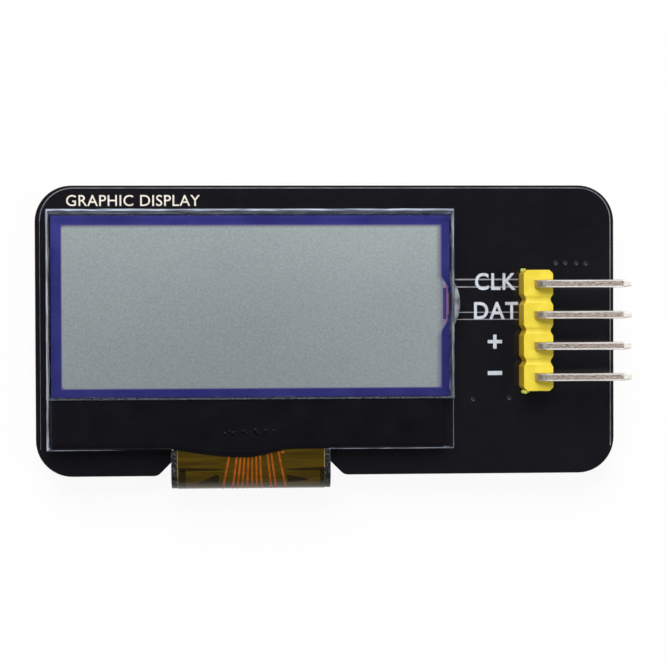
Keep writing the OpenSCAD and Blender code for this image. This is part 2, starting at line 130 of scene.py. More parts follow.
softBoxes = {  # bearing from +X and height in degrees, distance and side in metres, watts
    "backBox": (100, 50, 0.36, 0.24, 1.31),
    "rightBox": (352, 50, 0.40, 0.14, 0.34),
    "leftBox": (182, 60, 0.40, 0.15, 0.08),
}
for boxName, (bearing, height, far, boxSide, watts) in softBoxes.items():
    lamp = bpy.data.lights.new(boxName, "AREA")
    lamp.size = boxSide
    lamp.energy = watts
    bearing, height = math.radians(bearing), math.radians(height)
    level = math.cos(height)
    aim = Vector((math.cos(bearing) * level, math.sin(bearing) * level, math.sin(height)))
    holder = bpy.data.objects.new(boxName, lamp)
    holder.location = aim * far
    holder.rotation_euler = aim.to_track_quat("Z", "Y").to_euler()
    scene.collection.objects.link(holder)

# sky: a pale line at the horizon, dim above; the place of each stop is the sine of its height
skyStops = [(-1.0, 0.80), (0.0, 1.0), (0.20, 1.0), (0.30, 0.34), (0.50, 0.20), (0.80, 0.07), (1.0, 0.06)]
leftWall = (-0.6, 0.2, 0.4, 1.0)  # from and to across the room, and how bright at each
world = bpy.data.worlds.new("studioWalls")
world.use_nodes = True
scene.world = world
tree = world.node_tree
heading = addNode(tree, "TexCoord", {}, "Generated")
headed = addNode(tree, "SeparateXYZ", {"Vector": heading}).node.outputs
sky = {"across": headed["X"], "up": headed["Z"]}
addRows(tree, sky, [("height", "MapRange", "up", -1.0, 1.0), ("level", "MapRange", "across", *leftWall)])
ramp = addNode(tree, "ValToRGB", {"Fac": sky["height"]})
stops = ramp.node.color_ramp.elements
while len(stops) < len(skyStops):
    stops.new(0.5)
for stop, (sine, level) in zip(stops, skyStops):
    stop.position = (sine + 1) / 2
    stop.color = (level, level, level, 1)
tree.links.new(ramp, tree.nodes["Background"].inputs["Color"])
tree.links.new(sky["level"], tree.nodes["Background"].inputs["Strength"])

# floor: white to the eye, with the shadow kept by its diffuse part, and clear from below
floorLook = {"half": 12.0, "white": "#fbfbfb", "glow": 0.92}
floorMesh = bpy.data.meshes.new("floor")
floorHalf = floorLook["half"]
floorCorners = ((-1, -1), (1, -1), (1, 1), (-1, 1))
floorMesh.from_pydata([(x * floorHalf, y * floorHalf, 0) for x, y in floorCorners], [], [(0, 1, 2, 3)])
floor = bpy.data.objects.new("floor", floorMesh)
scene.collection.objects.link(floor)
floorPaint, tree = newMaterial("whitePaper")
tree.nodes.remove(tree.nodes["Principled BSDF"])
ray = addNode(tree, "LightPath", {}).node.outputs
rays = {"eye": ray["Is Camera Ray"], "mirrored": ray["Is Glossy Ray"], "through": ray["Is Transmission Ray"]}
addRows(tree, rays, [
    ("direct", "ADD", "eye", "mirrored"),
    ("seen", "ADD", "direct", "through"),
    ("share", "MINIMUM", "seen", 1.0),
    ("glow", "MULTIPLY", "share", floorLook["glow"]),
])
paper = addNode(tree, "BsdfDiffuse", {"Color": linear(floorLook["white"])})
shine = addNode(tree, "Emission", {"Strength": 1.0})
lit = addNode(tree, "MixShader", {0: rays["glow"], 1: paper, 2: shine})
under = addNode(tree, "NewGeometry", {}, "Backfacing")
clear = addNode(tree, "BsdfTransparent", {})
showAs(tree, addNode(tree, "MixShader", {0: under, 1: lit, 2: clear}))
floorMesh.materials.append(floorPaint)
print("camera, lights and floor set")


# Materials

noiseSpan = (0.3, 0.7)  # where most of a noise lies
drawn = {}  # for each material, its named outputs


# a surface with blotchy colour and a fine grit that roughens and dents it: two colours, the sizes of blotch
# and grit and the depth of a dent in millimetres, then the range of roughness
# grit that is too fine to show in the picture is drawn as coarse as it needs to show
def surface(name, dark, light, blotch, grit, depth, rough, gloss=0.5, metal=0.0,
            stretch=(1, 1, 1), span=(0.34, 0.66)):
    material, tree = newMaterial(name)
    place = addNode(tree, "TexCoord", {}, "Object")
    place = addNode(tree, "Mapping", {"Vector": place, "Scale": stretch})
    known = {"place": place}
    for label, size, detail in (("blotches", blotch, 3.0), ("grit", grit, 2.0)):
        known[label] = addNode(tree, "TexNoise", {
            "Vector": place, "Scale": 1 / (size * mm), "Detail": detail})
    addRows(tree, known, [
        ("spread", "MapRange", "blotches", *span),
        ("Roughness", "MapRange", "grit", *noiseSpan, *rough),
        ("Base Color", "Mix", "RGBA", "MIX", "spread", linear(dark), linear(light)),
    ])
    known["Normal"] = addNode(tree, "Bump", {
        "Height": known["grit"], "Strength": 1.0, "Distance": depth * mm})
    sockets = tree.nodes["Principled BSDF"].inputs
    for label in ("Base Color", "Roughness", "Normal"):
        tree.links.new(known[label], sockets[label])
    sockets["Metallic"].default_value = metal
    sockets["Specular IOR Level"].default_value = gloss
    drawn[name] = known
    return material


def repaint(material, colour):
    material.node_tree.links.new(colour, material.node_tree.nodes["Principled BSDF"].inputs["Base Color"])


# a surface that is partly clear, by the same blotches that colour it
def hazy(name, haze, *look, **more):
    material = surface(name, *look, **more)
    tree = material.node_tree
    addRows(tree, drawn[name], [("haze", "MapRange", "spread", 0.0, 1.0, *haze)])
    clear = addNode(tree, "BsdfTransparent", {})
    solid = tree.nodes["Principled BSDF"].outputs[0]
    drawn[name]["partly"] = addNode(tree, "MixShader", {0: drawn[name]["haze"], 1: clear, 2: solid})
    showAs(tree, drawn[name]["partly"])
    return material


# clear sheet: light goes straight through, and only the outer face mirrors the room
def clearSheet(name, ior, rough, smear):
    material, tree = newMaterial(name)
    tree.nodes.remove(tree.nodes["Principled BSDF"])
    place = addNode(tree, "TexCoord", {}, "Object")
    known = {
        "smears": addNode(tree, "TexNoise", {"Vector": place, "Scale": 1 / (smear * mm), "Detail": 2.0}),
        "edgeOn": addNode(tree, "Fresnel", {"IOR": ior}),
        "inside": addNode(tree, "NewGeometry", {}, "Backfacing"),
    }
    addRows(tree, known, [
        ("roughness", "MapRange", "smears", 0.0, 1.0, *rough),
        ("outer", "SUBTRACT", 1.0, "inside"),
        ("amount", "MULTIPLY", "edgeOn", "outer"),
    ])
    through = addNode(tree, "BsdfTransparent", {})
    mirror = addNode(tree, "BsdfGlossy", {"Roughness": known["roughness"]})
    showAs(tree, addNode(tree, "MixShader", {0: known["amount"], 1: through, 2: mirror}))
    return material


# black epoxy ink over copper: deep, slightly blue, glossy with faint orange peel
blackMask = surface("blackSolderMask", "#121217", "#16151b", 7.0, 0.55, 0.0005, (0.12, 0.18))
# glass cloth and epoxy, cut by a router: dull olive, with fibres lying along the board
routedEdge = surface("routedGlassEpoxy", "#33311f", "#575234", 0.35, 0.08, 0.012, (0.6, 0.85),
                     stretch=(0.25, 0.25, 3.0))
# painted highlight: the slope where the ink steps down off the copper, thinner there, is drawn pale for the
# light it catches, palest in a gap
stepHighlight = surface("solderMaskStepHighlight", "#5c5a63", "#807d87", 1.6, 0.2, 0.002, (0.3, 0.45))
gapHighlight = surface("solderMaskGapHighlight", "#7d7c85", "#a19fa8", 1.6, 0.2, 0.002, (0.3, 0.45))
# ink over a single track: a shade paler than over the pour
trackMask = surface("solderMaskTrack", "#1d1d23", "#26262d", 2.0, 0.4, 0.001, (0.2, 0.28))
# ink sagging into a plated hole: duller than on the flat, with a pale rim
tentMask = surface("tentedMask", "#17171c", "#26262c", 0.3, 0.12, 0.002, (0.34, 0.46), 0.3)
# printed legend ink: chalky white, and cream where it is thicker, with a slightly rough film
legendInk = surface("whiteLegendInk", "#bfc7d4", "#dbe2ec", 0.5, 0.09, 0.004, (0.55, 0.75))
captionInk = surface("creamLegendInk", "#e6dccb", "#f6efe2", 0.5, 0.09, 0.004, (0.55, 0.75))

# polariser: smooth plastic film, only its outer face meets air
filmSkin = clearSheet("polariserFilm", 1.40, (0.08, 0.14), 4.0)
# soda-lime glass, float surface: a clear, sharp mirror
floatGlass = clearSheet("floatGlass", 1.5, (0.03, 0.08), 5.0)
# the same glass where the film is bonded to it: no gloss of its own
bondedGlass = clearSheet("bondedGlass", 1.06, (0.05, 0.10), 5.0)
# scribed and broken glass edge: frosted, cold, streaked along the break and partly clear, so one finish for
# each direction; the wall, the outer facet that catches the light and the inner one that only glints
edgeGrain = (0.12, 0.08, 0.012, (0.18, 0.42))
edgeStreaks = {"X": (0.06, 1.0, 1.0), "Y": (1.0, 0.06, 1.0)}
facetLooks = {  # a name ends in the direction of its edge: range of haze, two colours, gloss
    "WallX": ((0.2, 0.4), "#5f6474", "#8f96a8", 0.5),
    "WallY": ((0.2, 0.4), "#5f6474", "#8f96a8", 0.5),
    "OuterX": ((0.6, 1.0), "#596580", "#d4e0f4", 0.5),
    "OuterY": ((0.6, 1.0), "#5a6174", "#c4cde2", 0.5),
    # InnerX is drawn darker than InnerY: painted shade on the top edges, which face the light from behind
    "InnerX": ((0.45, 0.85), "#0f141d", "#3a465a", 0.25),
    "InnerY": ((0.45, 0.85), "#262936", "#59606f", 0.5),
}
edgeFinishes = [
    hazy("brokenGlass" + facet, haze, dark, light, *edgeGrain, gloss, stretch=edgeStreaks[facet[-1]])
    for facet, (haze, dark, light, gloss) in facetLooks.items()]
# sealing epoxy seen between crossed films: deep blue violet, no gloss because glass covers it
sealBlue = surface("sealingEpoxy", "#2e2e71", "#37387c", 3.0, 0.15, 0.002, (0.4, 0.55), 0.0)
# painted light: the epoxy's colour is lifted towards the top, most along its outer edge, against the shade
# the glass edge casts there
sealPaintedLight = {  # it is lit more towards the top, most along its outer edge: from, to, and how bright at each
    "climb": (3.45, 9.45, 0.95, 1.35),
    "outerEdge": (9.05, 9.75, 1.0, 2.6),
}
tree = sealBlue.node_tree
sealPaint = drawn["sealingEpoxy"]
sealPaint["row"] = addNode(tree, "SeparateXYZ", {"Vector": sealPaint["place"]}, "Y")
addRows(tree, sealPaint, [
    (name, "MapRange", "row", onBoard(0, start).y, onBoard(0, end).y, dim, bright)
    for name, (start, end, dim, bright) in sealPaintedLight.items()])
addRows(tree, sealPaint, [
    ("lift", "MULTIPLY", "climb", "outerEdge"),
    ("lifted", "Mix", "RGBA", "MULTIPLY", 1.0, "Base Color", "lift"),
])
repaint(sealBlue, sealPaint["lifted"])
# the same epoxy outside the films: nearly black under bare glass
sealDark = surface("sealingEpoxyRim", "#2f3352", "#40456e", 0.6, 0.15, 0.002, (0.4, 0.55), 0.0)
# the island in the fill port: thinner, so lighter
sealIsland = surface("sealingEpoxyIsland", "#3e3c78", "#4a437c", 0.6, 0.15, 0.002, (0.4, 0.55), 0.0)
# silver reflector film behind the cell: a soft grey mirror
silverFilm = surface("reflectorFilm", "#8f9594", "#a7adab", 2.0, 0.06, 0.002, (0.3, 0.4), metal=0.7)
# acrylic foam tape: dark, closed cells show on its cut edge
foamTape = surface("acrylicFoamTape", "#1a1a1c", "#2a2a2c", 0.4, 0.12, 0.03, (0.7, 0.9))
# bare die: polished silicon, dark mirror
bareSilicon = surface("polishedSilicon", "#2c2c36", "#3a3a46", 1.5, 0.3, 0.0005, (0.08, 0.14), metal=0.6)
# black silicone, dispensed by hand: soft sheen, slightly lumpy
blackSilicone = surface("dispensedSilicone", "#101014", "#141419", 2.2, 0.3, 0.003, (0.3, 0.4), 0.06)
# its skin over a bubble: thin and stretched, so shinier, and drawn blacker than the coat as painted shade
bubbleShadeSkin = surface("siliconeBubble", "#070709", "#0c0c0f", 0.3, 0.1, 0.002, (0.2, 0.3), 0.12)
# polyimide over black film: dark amber, shiny
amberFilm = surface("amberPolyimide", "#3b2d06", "#51400b", 0.4, 0.12, 0.0008, (0.16, 0.22), 0.4,
                    stretch=(0.08, 1.0, 1.0))
# its cut edge: duller, and drawn pale as a painted highlight for the light the edge catches
amberCutHighlight = surface("polyimideCutEdgeHighlight", "#6d5a2c", "#a08d58", 0.4, 0.08, 0.004, (0.35, 0.5))
# copper on the far side, seen through the amber film
amberShade = surface("buriedCopperShade", "#1f1807", "#29200a", 1.0, 0.12, 0.0008, (0.16, 0.22), 0.4)
# etched copper under the cover film: orange, with the film's shine and not a bare metal's
etchedCopper = surface("coveredCopper", "#8a440c", "#ab5714", 0.5, 0.08, 0.001, (0.18, 0.26), 0.4)
# black polyester film with dust in its glue edge
blackFilm = surface("blackPolyesterFilm", "#15161a", "#7c818b", 0.13, 0.12, 0.008, (0.3, 0.5), 0.3,
                    span=(0.53, 0.76))
# tin alloy solder: bright, faintly grained where it froze
tinSolder = surface("tinSolder", "#a9abad", "#cfd1d2", 0.5, 0.12, 0.006, (0.22, 0.4), metal=1.0)
# moulded glass-filled nylon: warm yellow with a fine moulded skin
yellowNylon = surface("mouldedNylon", "#ead137", "#f3de4a", 1.1, 0.09, 0.004, (0.38, 0.52), 0.3)
# its side walls: a deeper, warmer copy of it, painted glow for the light that seeps through the thickness
nylonSidePaintedGlow = surface("mouldedNylonSidePaintedGlow", "#f0c41c", "#f8d230", 1.1, 0.09, 0.004, (0.38, 0.52), 0.3)
# thin flash where the moulding was snapped: pale, greenish
nylonFlash = surface("snappedNylon", "#a9b02e", "#d3d95c", 0.25, 0.08, 0.01, (0.5, 0.7))
# drawn brass wire, tinned: grey with draw marks along the wire
tinnedBrass = surface("tinnedBrassWire", "#8f7a6e", "#e8ded6", 0.07, 0.05, 0.0035, (0.32, 0.46), metal=0.9,
                      stretch=(0.2, 1.0, 1.0))
# burnished by the bending tool, on top of the bend
burnishedTin = surface("burnishedTin", "#a89f94", "#d3ccc2", 0.2, 0.05, 0.001, (0.36, 0.44), metal=0.9)
# the coined corners of that wire are smoother, so they mirror the horizon, and drawn whiter than the rest of
# it as a painted highlight
coinedEdgeHighlight = surface("coinedTinEdgeHighlight", "#dcd8d2", "#f8f6f2", 0.22, 0.05, 0.001, (0.12, 0.20), metal=1.0,
                     stretch=(0.06, 1.0, 1.0))
# sheared tips, tinned last: pale and matt
mattTin = surface("mattTinTip", "#ddd6cc", "#f6f3ee", 0.2, 0.06, 0.003, (0.4, 0.55), metal=0.25)
# epoxy moulding compound: near black, fine matt grain
packageEpoxy = surface("mouldingCompound", "#1b1b1d", "#252527", 0.6, 0.07, 0.006, (0.5, 0.68))
# tinned lead frame: plain bright grey
tinnedLead = surface("tinnedLeadFrame", "#a6a8aa", "#c6c8c9", 0.3, 0.07, 0.003, (0.28, 0.42), metal=1.0)
# fired ceramic chip bodies: matt tan, shiny black glaze, chalky white
tanCeramic = surface("tanCeramic", "#8f6c45", "#b0895c", 0.4, 0.06, 0.004, (0.4, 0.55))
blackGlaze = surface("resistorGlaze", "#141417", "#202024", 0.4, 0.08, 0.002, (0.2, 0.35))
whiteCeramic = surface("aluminaCeramic", "#cfccc4", "#e2dfd8", 0.4, 0.06, 0.004, (0.5, 0.65))

# liquid crystal over its reflector: grey green, with painted light that makes it lighter at the top, and a
# soft violet hem at the seal that is partly painted shade
crystal = {
    "low": "#8a9295", "high": "#a4aeaf", "climbPower": 1.7, "patchShare": 0.3,
    "grain": 0.16, "grainLift": (0.89, 1.11), "rightLift": 1.1,
    "zones": {  # colour, side, where it starts and is full past that side in millimetres, and how it fades in
        # the hem is painted shade along the top, and the fill's own lilac tint towards the port
        "hem": ("#6c6a83", "softSide", -0.50, 0.0, "LINEAR"),
        "line": ("#64598c", "nearest", -0.12, -0.02, "SMOOTHSTEP"),
        "port": ("#8f6296", "pastRight", 0.27, 0.39, "SMOOTHSTEP"),
        "mouth": ("#352f3e", "pastRight", 0.52, 0.60, "SMOOTHSTEP"),
    },
    "cornerRound": 0.45, "topRatio": 1.7,  # the hem is narrower at the top by this
    "pocketFrom": 2.0, "pocketTo": 2.5, "pocketShare": 0.3,  # hem and line fade where the port opens
    "besideFrom": -0.9, "besideTo": -0.7,
    "rightEdge": 1.0,  # from the glass edge to the picture, at the side where the port lies
}
filledLow, filledHigh = boardBox("liquid_crystal")
pictureRight = boardBox("front_glass")[1].x - crystal["rightEdge"]
pictureMid = Vector(((filledLow.x + pictureRight) / 2, (filledLow.y + filledHigh.y) / 2, 0))
pictureHalf = Vector(((pictureRight - filledLow.x) / 2, (filledHigh.y - filledLow.y) / 2, 0))
greyCrystal = surface("liquidCrystal", "#8d9697", "#9aa3a3", 9.0, crystal["grain"], 0.0004, (0.5, 0.6), 0.0)
tree = greyCrystal.node_tree
picture = drawn["liquidCrystal"]
centred = addNode(tree, "Mapping", {"Vector": picture["place"], "Location": -onBoard(*pictureMid.xy)})
apart = addNode(tree, "VectorMath", {"operation": "ABSOLUTE", 0: centred})
beyond = addNode(tree, "VectorMath", {"operation": "SUBTRACT", 0: apart, 1: pictureHalf * mm})
sides = addNode(tree, "SeparateXYZ", {"Vector": beyond}).node.outputs
axes = addNode(tree, "SeparateXYZ", {"Vector": centred}).node.outputs
picture.update(besideX=sides["X"], besideY=sides["Y"], portward=axes["X"], upward=axes["Y"])
zones = crystal["zones"].items()
addRows(tree, picture, [
    ("nearest", "SMOOTH_MAX", "besideX", "besideY", crystal["cornerRound"] * mm),
    ("pastRight", "SUBTRACT", "portward", pictureHalf.x * mm),
    ("pastTop", "SUBTRACT", "upward", pictureHalf.y * mm),
    ("sooner", "MULTIPLY", "pastTop", crystal["topRatio"]),
    ("softSide", "MAXIMUM", "pastRight", "sooner"),
    ("fromMiddle", "ABSOLUTE", "upward"),
    ("offPocket", "MapRange", "fromMiddle", crystal["pocketFrom"] * mm, crystal["pocketTo"] * mm,
     crystal["pocketShare"]),
    ("offRight", "MapRange", "pastRight", crystal["besideFrom"] * mm, crystal["besideTo"] * mm, 1.0, 0.0),
    ("lined", "MAXIMUM", "offPocket", "offRight"),
    ("climb", "MapRange", "upward", -pictureHalf.y * mm, pictureHalf.y * mm),
    ("rising", "POWER", "climb", crystal["climbPower"]),
    ("grain", "MapRange", "grit", *noiseSpan, *crystal["grainLift"]),
    ("rightward", "MapRange", "portward", 0.0, pictureHalf.x * mm, 1.0, crystal["rightLift"]),
    ("mottle", "MULTIPLY", "grain", "rightward"),
])
addRows(tree, picture, [
    (zone, "MapRange", side, start * mm, full * mm, 0.0, 1.0, fading)
    for zone, (tint, side, start, full, fading) in zones])
addRows(tree, picture, [
    ("hem", "MULTIPLY", "hem", "lined"),
    ("line", "MULTIPLY", "line", "lined"),
    # painted light: the grey turns lighter towards the top
    ("fade", "Mix", "RGBA", "MIX", "rising", linear(crystal["low"]), linear(crystal["high"])),
    ("even", "Mix", "RGBA", "MIX", crystal["patchShare"], "fade", "Base Color"),
    ("painted", "Mix", "RGBA", "MULTIPLY", 1.0, "even", "mottle"),
])
addRows(tree, picture, [
    ("painted", "Mix", "RGBA", "MIX", zone, "painted", linear(tint)) for zone, (tint, *spread) in zones])
repaint(greyCrystal, picture["painted"])

# clear glue: greyish, half see-through, wet shine, and whiter where it is seen edge-on, partly for the depth
# of glue in view there and partly as a painted highlight along its rim
clearGlue = hazy("clearGlue", (0.45, 0.75), "#7b7e87", "#b8bac6", 0.9, 0.5, 0.002, (0.08, 0.14))
glueRimHighlight = {"blend": 0.35}
tree = clearGlue.node_tree
gluePaint = drawn["clearGlue"]
gluePaint["edgeOn"] = addNode(tree, "LayerWeight", {"Blend": glueRimHighlight["blend"]}, "Facing")
addRows(tree, gluePaint, [("thick", "MAXIMUM", "edgeOn", "haze")])
tree.links.new(gluePaint["thick"], gluePaint["partly"].node.inputs[0])
# the same glue between the plates, where it is thin and dark
thinGlue = hazy("thinGlue", (0.3, 0.6), "#26262e", "#3a3a44", 0.4, 0.3, 0.002, (0.2, 0.3))
print("materials made:", len(bpy.data.materials))


# Making pieces

weldGap = 0.001 * mm
flatTurn = 0.1  # degrees, up to which two faces are one


def nodeCopy(nodeName):
    bm = bmesh.new()
    bm.from_mesh(nodes[nodeName].data)
    bmesh.ops.remove_doubles(bm, verts=bm.verts[:], dist=weldGap)
    bmesh.ops.dissolve_limit(bm, angle_limit=math.radians(flatTurn), verts=bm.verts[:], edges=bm.edges[:])
    return bm


def roundEdges(bm, edges, width, segments):
    bmesh.ops.bevel(bm, geom=edges, offset=width * mm, offset_type="OFFSET", segments=segments,
                    profile=0.5, affect="EDGES", clamp_overlap=True)


# rounds the edges that turn by more degrees than sharper
def softenEdges(bm, width, segments=2, sharper=25, kept=()):
    turned = [e for e in bm.edges if e not in kept and e.calc_face_angle(0) > math.radians(sharper)]
    roundEdges(bm, turned, width, segments)


# the object's mesh becomes the plain one that its modifier makes
def settle(obj, modifier):
    depsgraph = bpy.context.evaluated_depsgraph_get()
    made = bpy.data.meshes.new_from_object(
        obj.evaluated_get(depsgraph), preserve_all_data_layers=True, depsgraph=depsgraph)
    obj.modifiers.remove(modifier)
    obj.data = made


# edges that turn by fewer degrees than smooth are shaded round, from the flats beside them, which stay flat
def dress(obj, nodeName=None, smooth=30):
    obj.data.shade_smooth()
    obj.data.set_sharp_from_angle(angle=math.radians(smooth))
    even = obj.modifiers.new("evenNormals", "WEIGHTED_NORMAL")
    even.keep_sharp = True
    settle(obj, even)
    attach(obj, "root")
    if nodeName:
        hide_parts(nodeName)


def faceOutward(bm):
    bmesh.ops.recalc_face_normals(bm, faces=bm.faces[:])
    if bm.calc_volume(signed=True) < 0:
        bmesh.ops.reverse_faces(bm, faces=bm.faces[:])


def newObject(name, bm, materials=()):
    bmesh.ops.dissolve_degenerate(bm, dist=weldGap, edges=bm.edges[:])
    mesh = bpy.data.meshes.new(name)
    bm.to_mesh(mesh)
    bm.free()
    for material in materials:
        mesh.materials.append(material)
    obj = bpy.data.objects.new(name, mesh)
    scene.collection.objects.link(obj)
    return obj


def addPiece(name, bm, finishes, nodeName=None, smooth=30):
    dress(newObject(name, bm, finishes), nodeName, smooth)


# a solid as it is, but for its rounded edges
def addSolid(name, nodeName, finish, width=0, sharper=25, smooth=30):
    bm = nodeCopy(nodeName)
    if width:
        softenEdges(bm, width, 2, sharper)
    addPiece(name, bm, [finish], nodeName, smooth)


# walls through rings of points, each ring with the same count, and a face over each end
def loft(bm, rings, closed=True):
    rows = [[bm.verts.new(p) for p in ring] for ring in rings]
    walls = []
    for low, high in zip(rows, rows[1:]):
        for i in range(len(low)):
            j = (i + 1) % len(low)
            walls.append(bm.faces.new((low[i], low[j], high[j], high[i])))
    ends = [bm.faces.new(rows[0][::-1]), bm.faces.new(rows[-1])] if closed else []
    return rows, walls, ends


# Geometry Nodes trees

def newTree(name, inputs):
    tree = bpy.data.node_groups.new(name, "GeometryNodeTree")
    tree.interface.new_socket("Geometry", in_out="OUTPUT", socket_type="NodeSocketGeometry")
    tree.interface.new_socket("Geometry", in_out="INPUT", socket_type="NodeSocketGeometry")
    for label, kind in inputs.items():
        tree.interface.new_socket(label, in_out="INPUT", socket_type="NodeSocket" + kind)
    return tree, addNode(tree, "NodeGroupInput", {}).node.outputs


def endTree(tree, geometry, material):
    real = addNode(tree, "GeometryNodeRealizeInstances", {"Geometry": geometry})
    done = addNode(tree, "GeometryNodeSetMaterial", {"Geometry": real, "Material": material})
    addNode(tree, "NodeGroupOutput", {"Geometry": done})
    return done


def runTree(obj, tree, values):
    modifier = obj.modifiers.new(tree.name, "NODES")
    modifier.node_group = tree
    for item in tree.interface.items_tree:
        if item.in_out == "INPUT" and item.name in values:
            modifier[item.identifier] = values[item.name]
    settle(obj, modifier)
    return obj


# a flat band that follows drawn lines
bandTree, given = newTree("bandAlongLine", {"Width": "Float", "Height": "Float", "Finish": "Material"})
drawnLine = addNode(bandTree, "GeometryNodeMeshToCurve", {"Mesh": given["Geometry"]})
levelLine = addNode(bandTree, "GeometryNodeSetCurveNormal", {"mode": "Z_UP", "Curve": drawnLine})
bandSection = addNode(bandTree, "GeometryNodeCurvePrimitiveQuadrilateral", {
    "Width": given["Width"], "Height": given["Height"]})
band = addNode(bandTree, "GeometryNodeCurveToMesh", {
    "Curve": levelLine, "Profile Curve": bandSection, "Fill Caps": True})
endTree(bandTree, band, given["Finish"])

# one small part set on every point, turned and stretched by the point's own values
spreadTree, given = newTree("partOnPoints", {"Part": "Object", "Finish": "Material"})
part = addNode(spreadTree, "GeometryNodeObjectInfo", {"Object": given["Part"]}, "Geometry")
turn, stretch = [addNode(spreadTree, "GeometryNodeInputNamedAttribute", {
    "data_type": "FLOAT_VECTOR", "Name": name}) for name in ("turn", "stretch")]
partsSet = addNode(spreadTree, "GeometryNodeInstanceOnPoints", {
    "Points": given["Geometry"], "Instance": part, "Rotation": turn, "Scale": stretch})
endTree(spreadTree, partsSet, given["Finish"])

# a flat strip laid round a half turn: its fold starts at y 0, and what lies below that goes round
foldTree, given = newTree("foldRoundEdge", {
    "Radius": "Float", "Fold Y": "Float", "Fold Z": "Float", "Finish": "Material", "Cut Edge": "Material"})
flat = addNode(foldTree, "GeometryNodeInputPosition", {})
axes = addNode(foldTree, "SeparateXYZ", {"Vector": flat}).node.outputs
folding = {"flatY": axes["Y"], "flatZ": axes["Z"]}
folding.update((label, given[label]) for label in ("Radius", "Fold Y", "Fold Z"))
addRows(foldTree, folding, [
    ("down", "MULTIPLY", "flatY", -1.0),
    ("angle", "DIVIDE", "down", "Radius"),
    ("turned", "MAXIMUM", "angle", 0.0),
    ("bent", "MINIMUM", "turned", math.pi),
    ("before", "MAXIMUM", "flatY", 0.0),
    ("around", "MULTIPLY", "Radius", math.pi),
    ("past", "SUBTRACT", "down", "around"),
    ("after", "MAXIMUM", "past", 0.0),
    ("reach", "ADD", "Radius", "flatZ"),
    ("sine", "SINE", "bent"),
    ("cosine", "COSINE", "bent"),
    ("straight", "ADD", "before", "after"),
    ("run", "ADD", "straight", "Fold Y"),
    ("swing", "MULTIPLY", "reach", "sine"),
    ("newY", "SUBTRACT", "run", "swing"),
    ("lift", "MULTIPLY", "reach", "cosine"),
    ("newZ", "ADD", "lift", "Fold Z"),
])
folded = addNode(foldTree, "CombineXYZ", {
    "X": axes["X"], "Y": folding["newY"], "Z": folding["newZ"]})
moved = addNode(foldTree, "GeometryNodeSetPosition", {"Geometry": given["Geometry"], "Position": folded})
done = endTree(foldTree, moved, given["Finish"])
cut = addNode(foldTree, "GeometryNodeInputNamedAttribute", {"data_type": "INT", "Name": "cut"})
trimmed = addNode(foldTree, "GeometryNodeSetMaterial", {
    "Geometry": done, "Selection": cut, "Material": given["Cut Edge"]})
foldTree.links.new(trimmed, foldTree.nodes["Group Output"].inputs["Geometry"])


# drawn lines, in board millimetres, become bands of one width and height
def bands(name, lines, z, width, height, finish):
    bm = bmesh.new()
    for line in lines:
        verts = [bm.verts.new(onBoard(x, y, z)) for x, y in line]
        for a, b in zip(verts, verts[1:]):
            bm.edges.new((a, b))
    dress(runTree(newObject(name, bm), bandTree, {
        "Width": width * mm, "Height": height * mm, "Finish": finish}), None)


# points that carry a turn and a stretch for the part that is set on them
def spreadParts(name, part, points, finish):
    bm = bmesh.new()
    turnLayer = bm.verts.layers.float_vector.new("turn")
    stretchLayer = bm.verts.layers.float_vector.new("stretch")
    for place, turnAngle, size in points:
        vert = bm.verts.new(place)
        vert[turnLayer] = (0, 0, math.radians(turnAngle))
        vert[stretchLayer] = size
    obj = runTree(newObject(name, bm), spreadTree, {"Part": part, "Finish": finish})
    bpy.data.objects.remove(part)
    dress(obj, None)


def arc(x, y, radius, start, end, steps=10):
    angles = [math.radians(start + (end - start) * i / steps) for i in range(steps + 1)]
    return [(x + radius * math.cos(a), y + radius * math.sin(a)) for a in angles]


# solid of revolution about Z from (radius, height) pairs in millimetres
def lathe(name, profile, steps):
    bm = bmesh.new()
    turns = [2 * math.pi * i / steps for i in range(steps)]
    rings = []
    for radius, height in profile:
        if radius == 0:
            rings.append([bm.verts.new((0, 0, height * mm))] * steps)
        else:
            rings.append([bm.verts.new((radius * mm * math.cos(a), radius * mm * math.sin(a), height * mm))
                          for a in turns])
    for low, high in zip(rings, rings[1:]):
        for i in range(steps):
            j = (i + 1) % steps
            bm.faces.new(dict.fromkeys((low[i], low[j], high[j], high[i])))
    faceOutward(bm)
    return newObject(name, bm)


# Circuit board

board = {"edgeRound": 0.05, "edgeTurn": 60, "sheetTurn": 0.8, "lineZ": -0.003}
bm = nodeCopy("circuit_board")
softenEdges(bm, board["edgeRound"], 1, board["edgeTurn"])
for face in bm.faces:
    face.material_index = 0 if abs(face.normal.z) > board["sheetTurn"] else 1
addPiece("boardLaminate", bm, [blackMask, routedEdge], "circuit_board")

# copper pour: its edge is a fine step, drawn pale as a painted highlight where it catches the light, all
# round but for the lower side, which the light doesn't reach
pour = {
    "left": -23.6, "right": 23.72, "top": 11.79, "foot": -9.75, "corner": 2.7,
    "width": 0.085, "leftWidth": 0.035, "height": 0.03,
}
cornerY = pour["top"] - pour["corner"]
leftLine = [(pour["left"], pour["foot"]), (pour["left"], cornerY)]
pourLine = arc(pour["left"] + pour["corner"], cornerY, pour["corner"], 180, 90)
pourLine += arc(pour["right"] - pour["corner"], cornerY, pour["corner"], 90, 0)
pourLine += [(pour["right"], pour["foot"])]
bands("pourStep", [pourLine], board["lineZ"], pour["width"], pour["height"], stepHighlight)
# the left side is narrower, so its painted highlight is fainter
bands("pourStepLeft", [leftLine], board["lineZ"], pour["leftWidth"], pour["height"], stepHighlight)

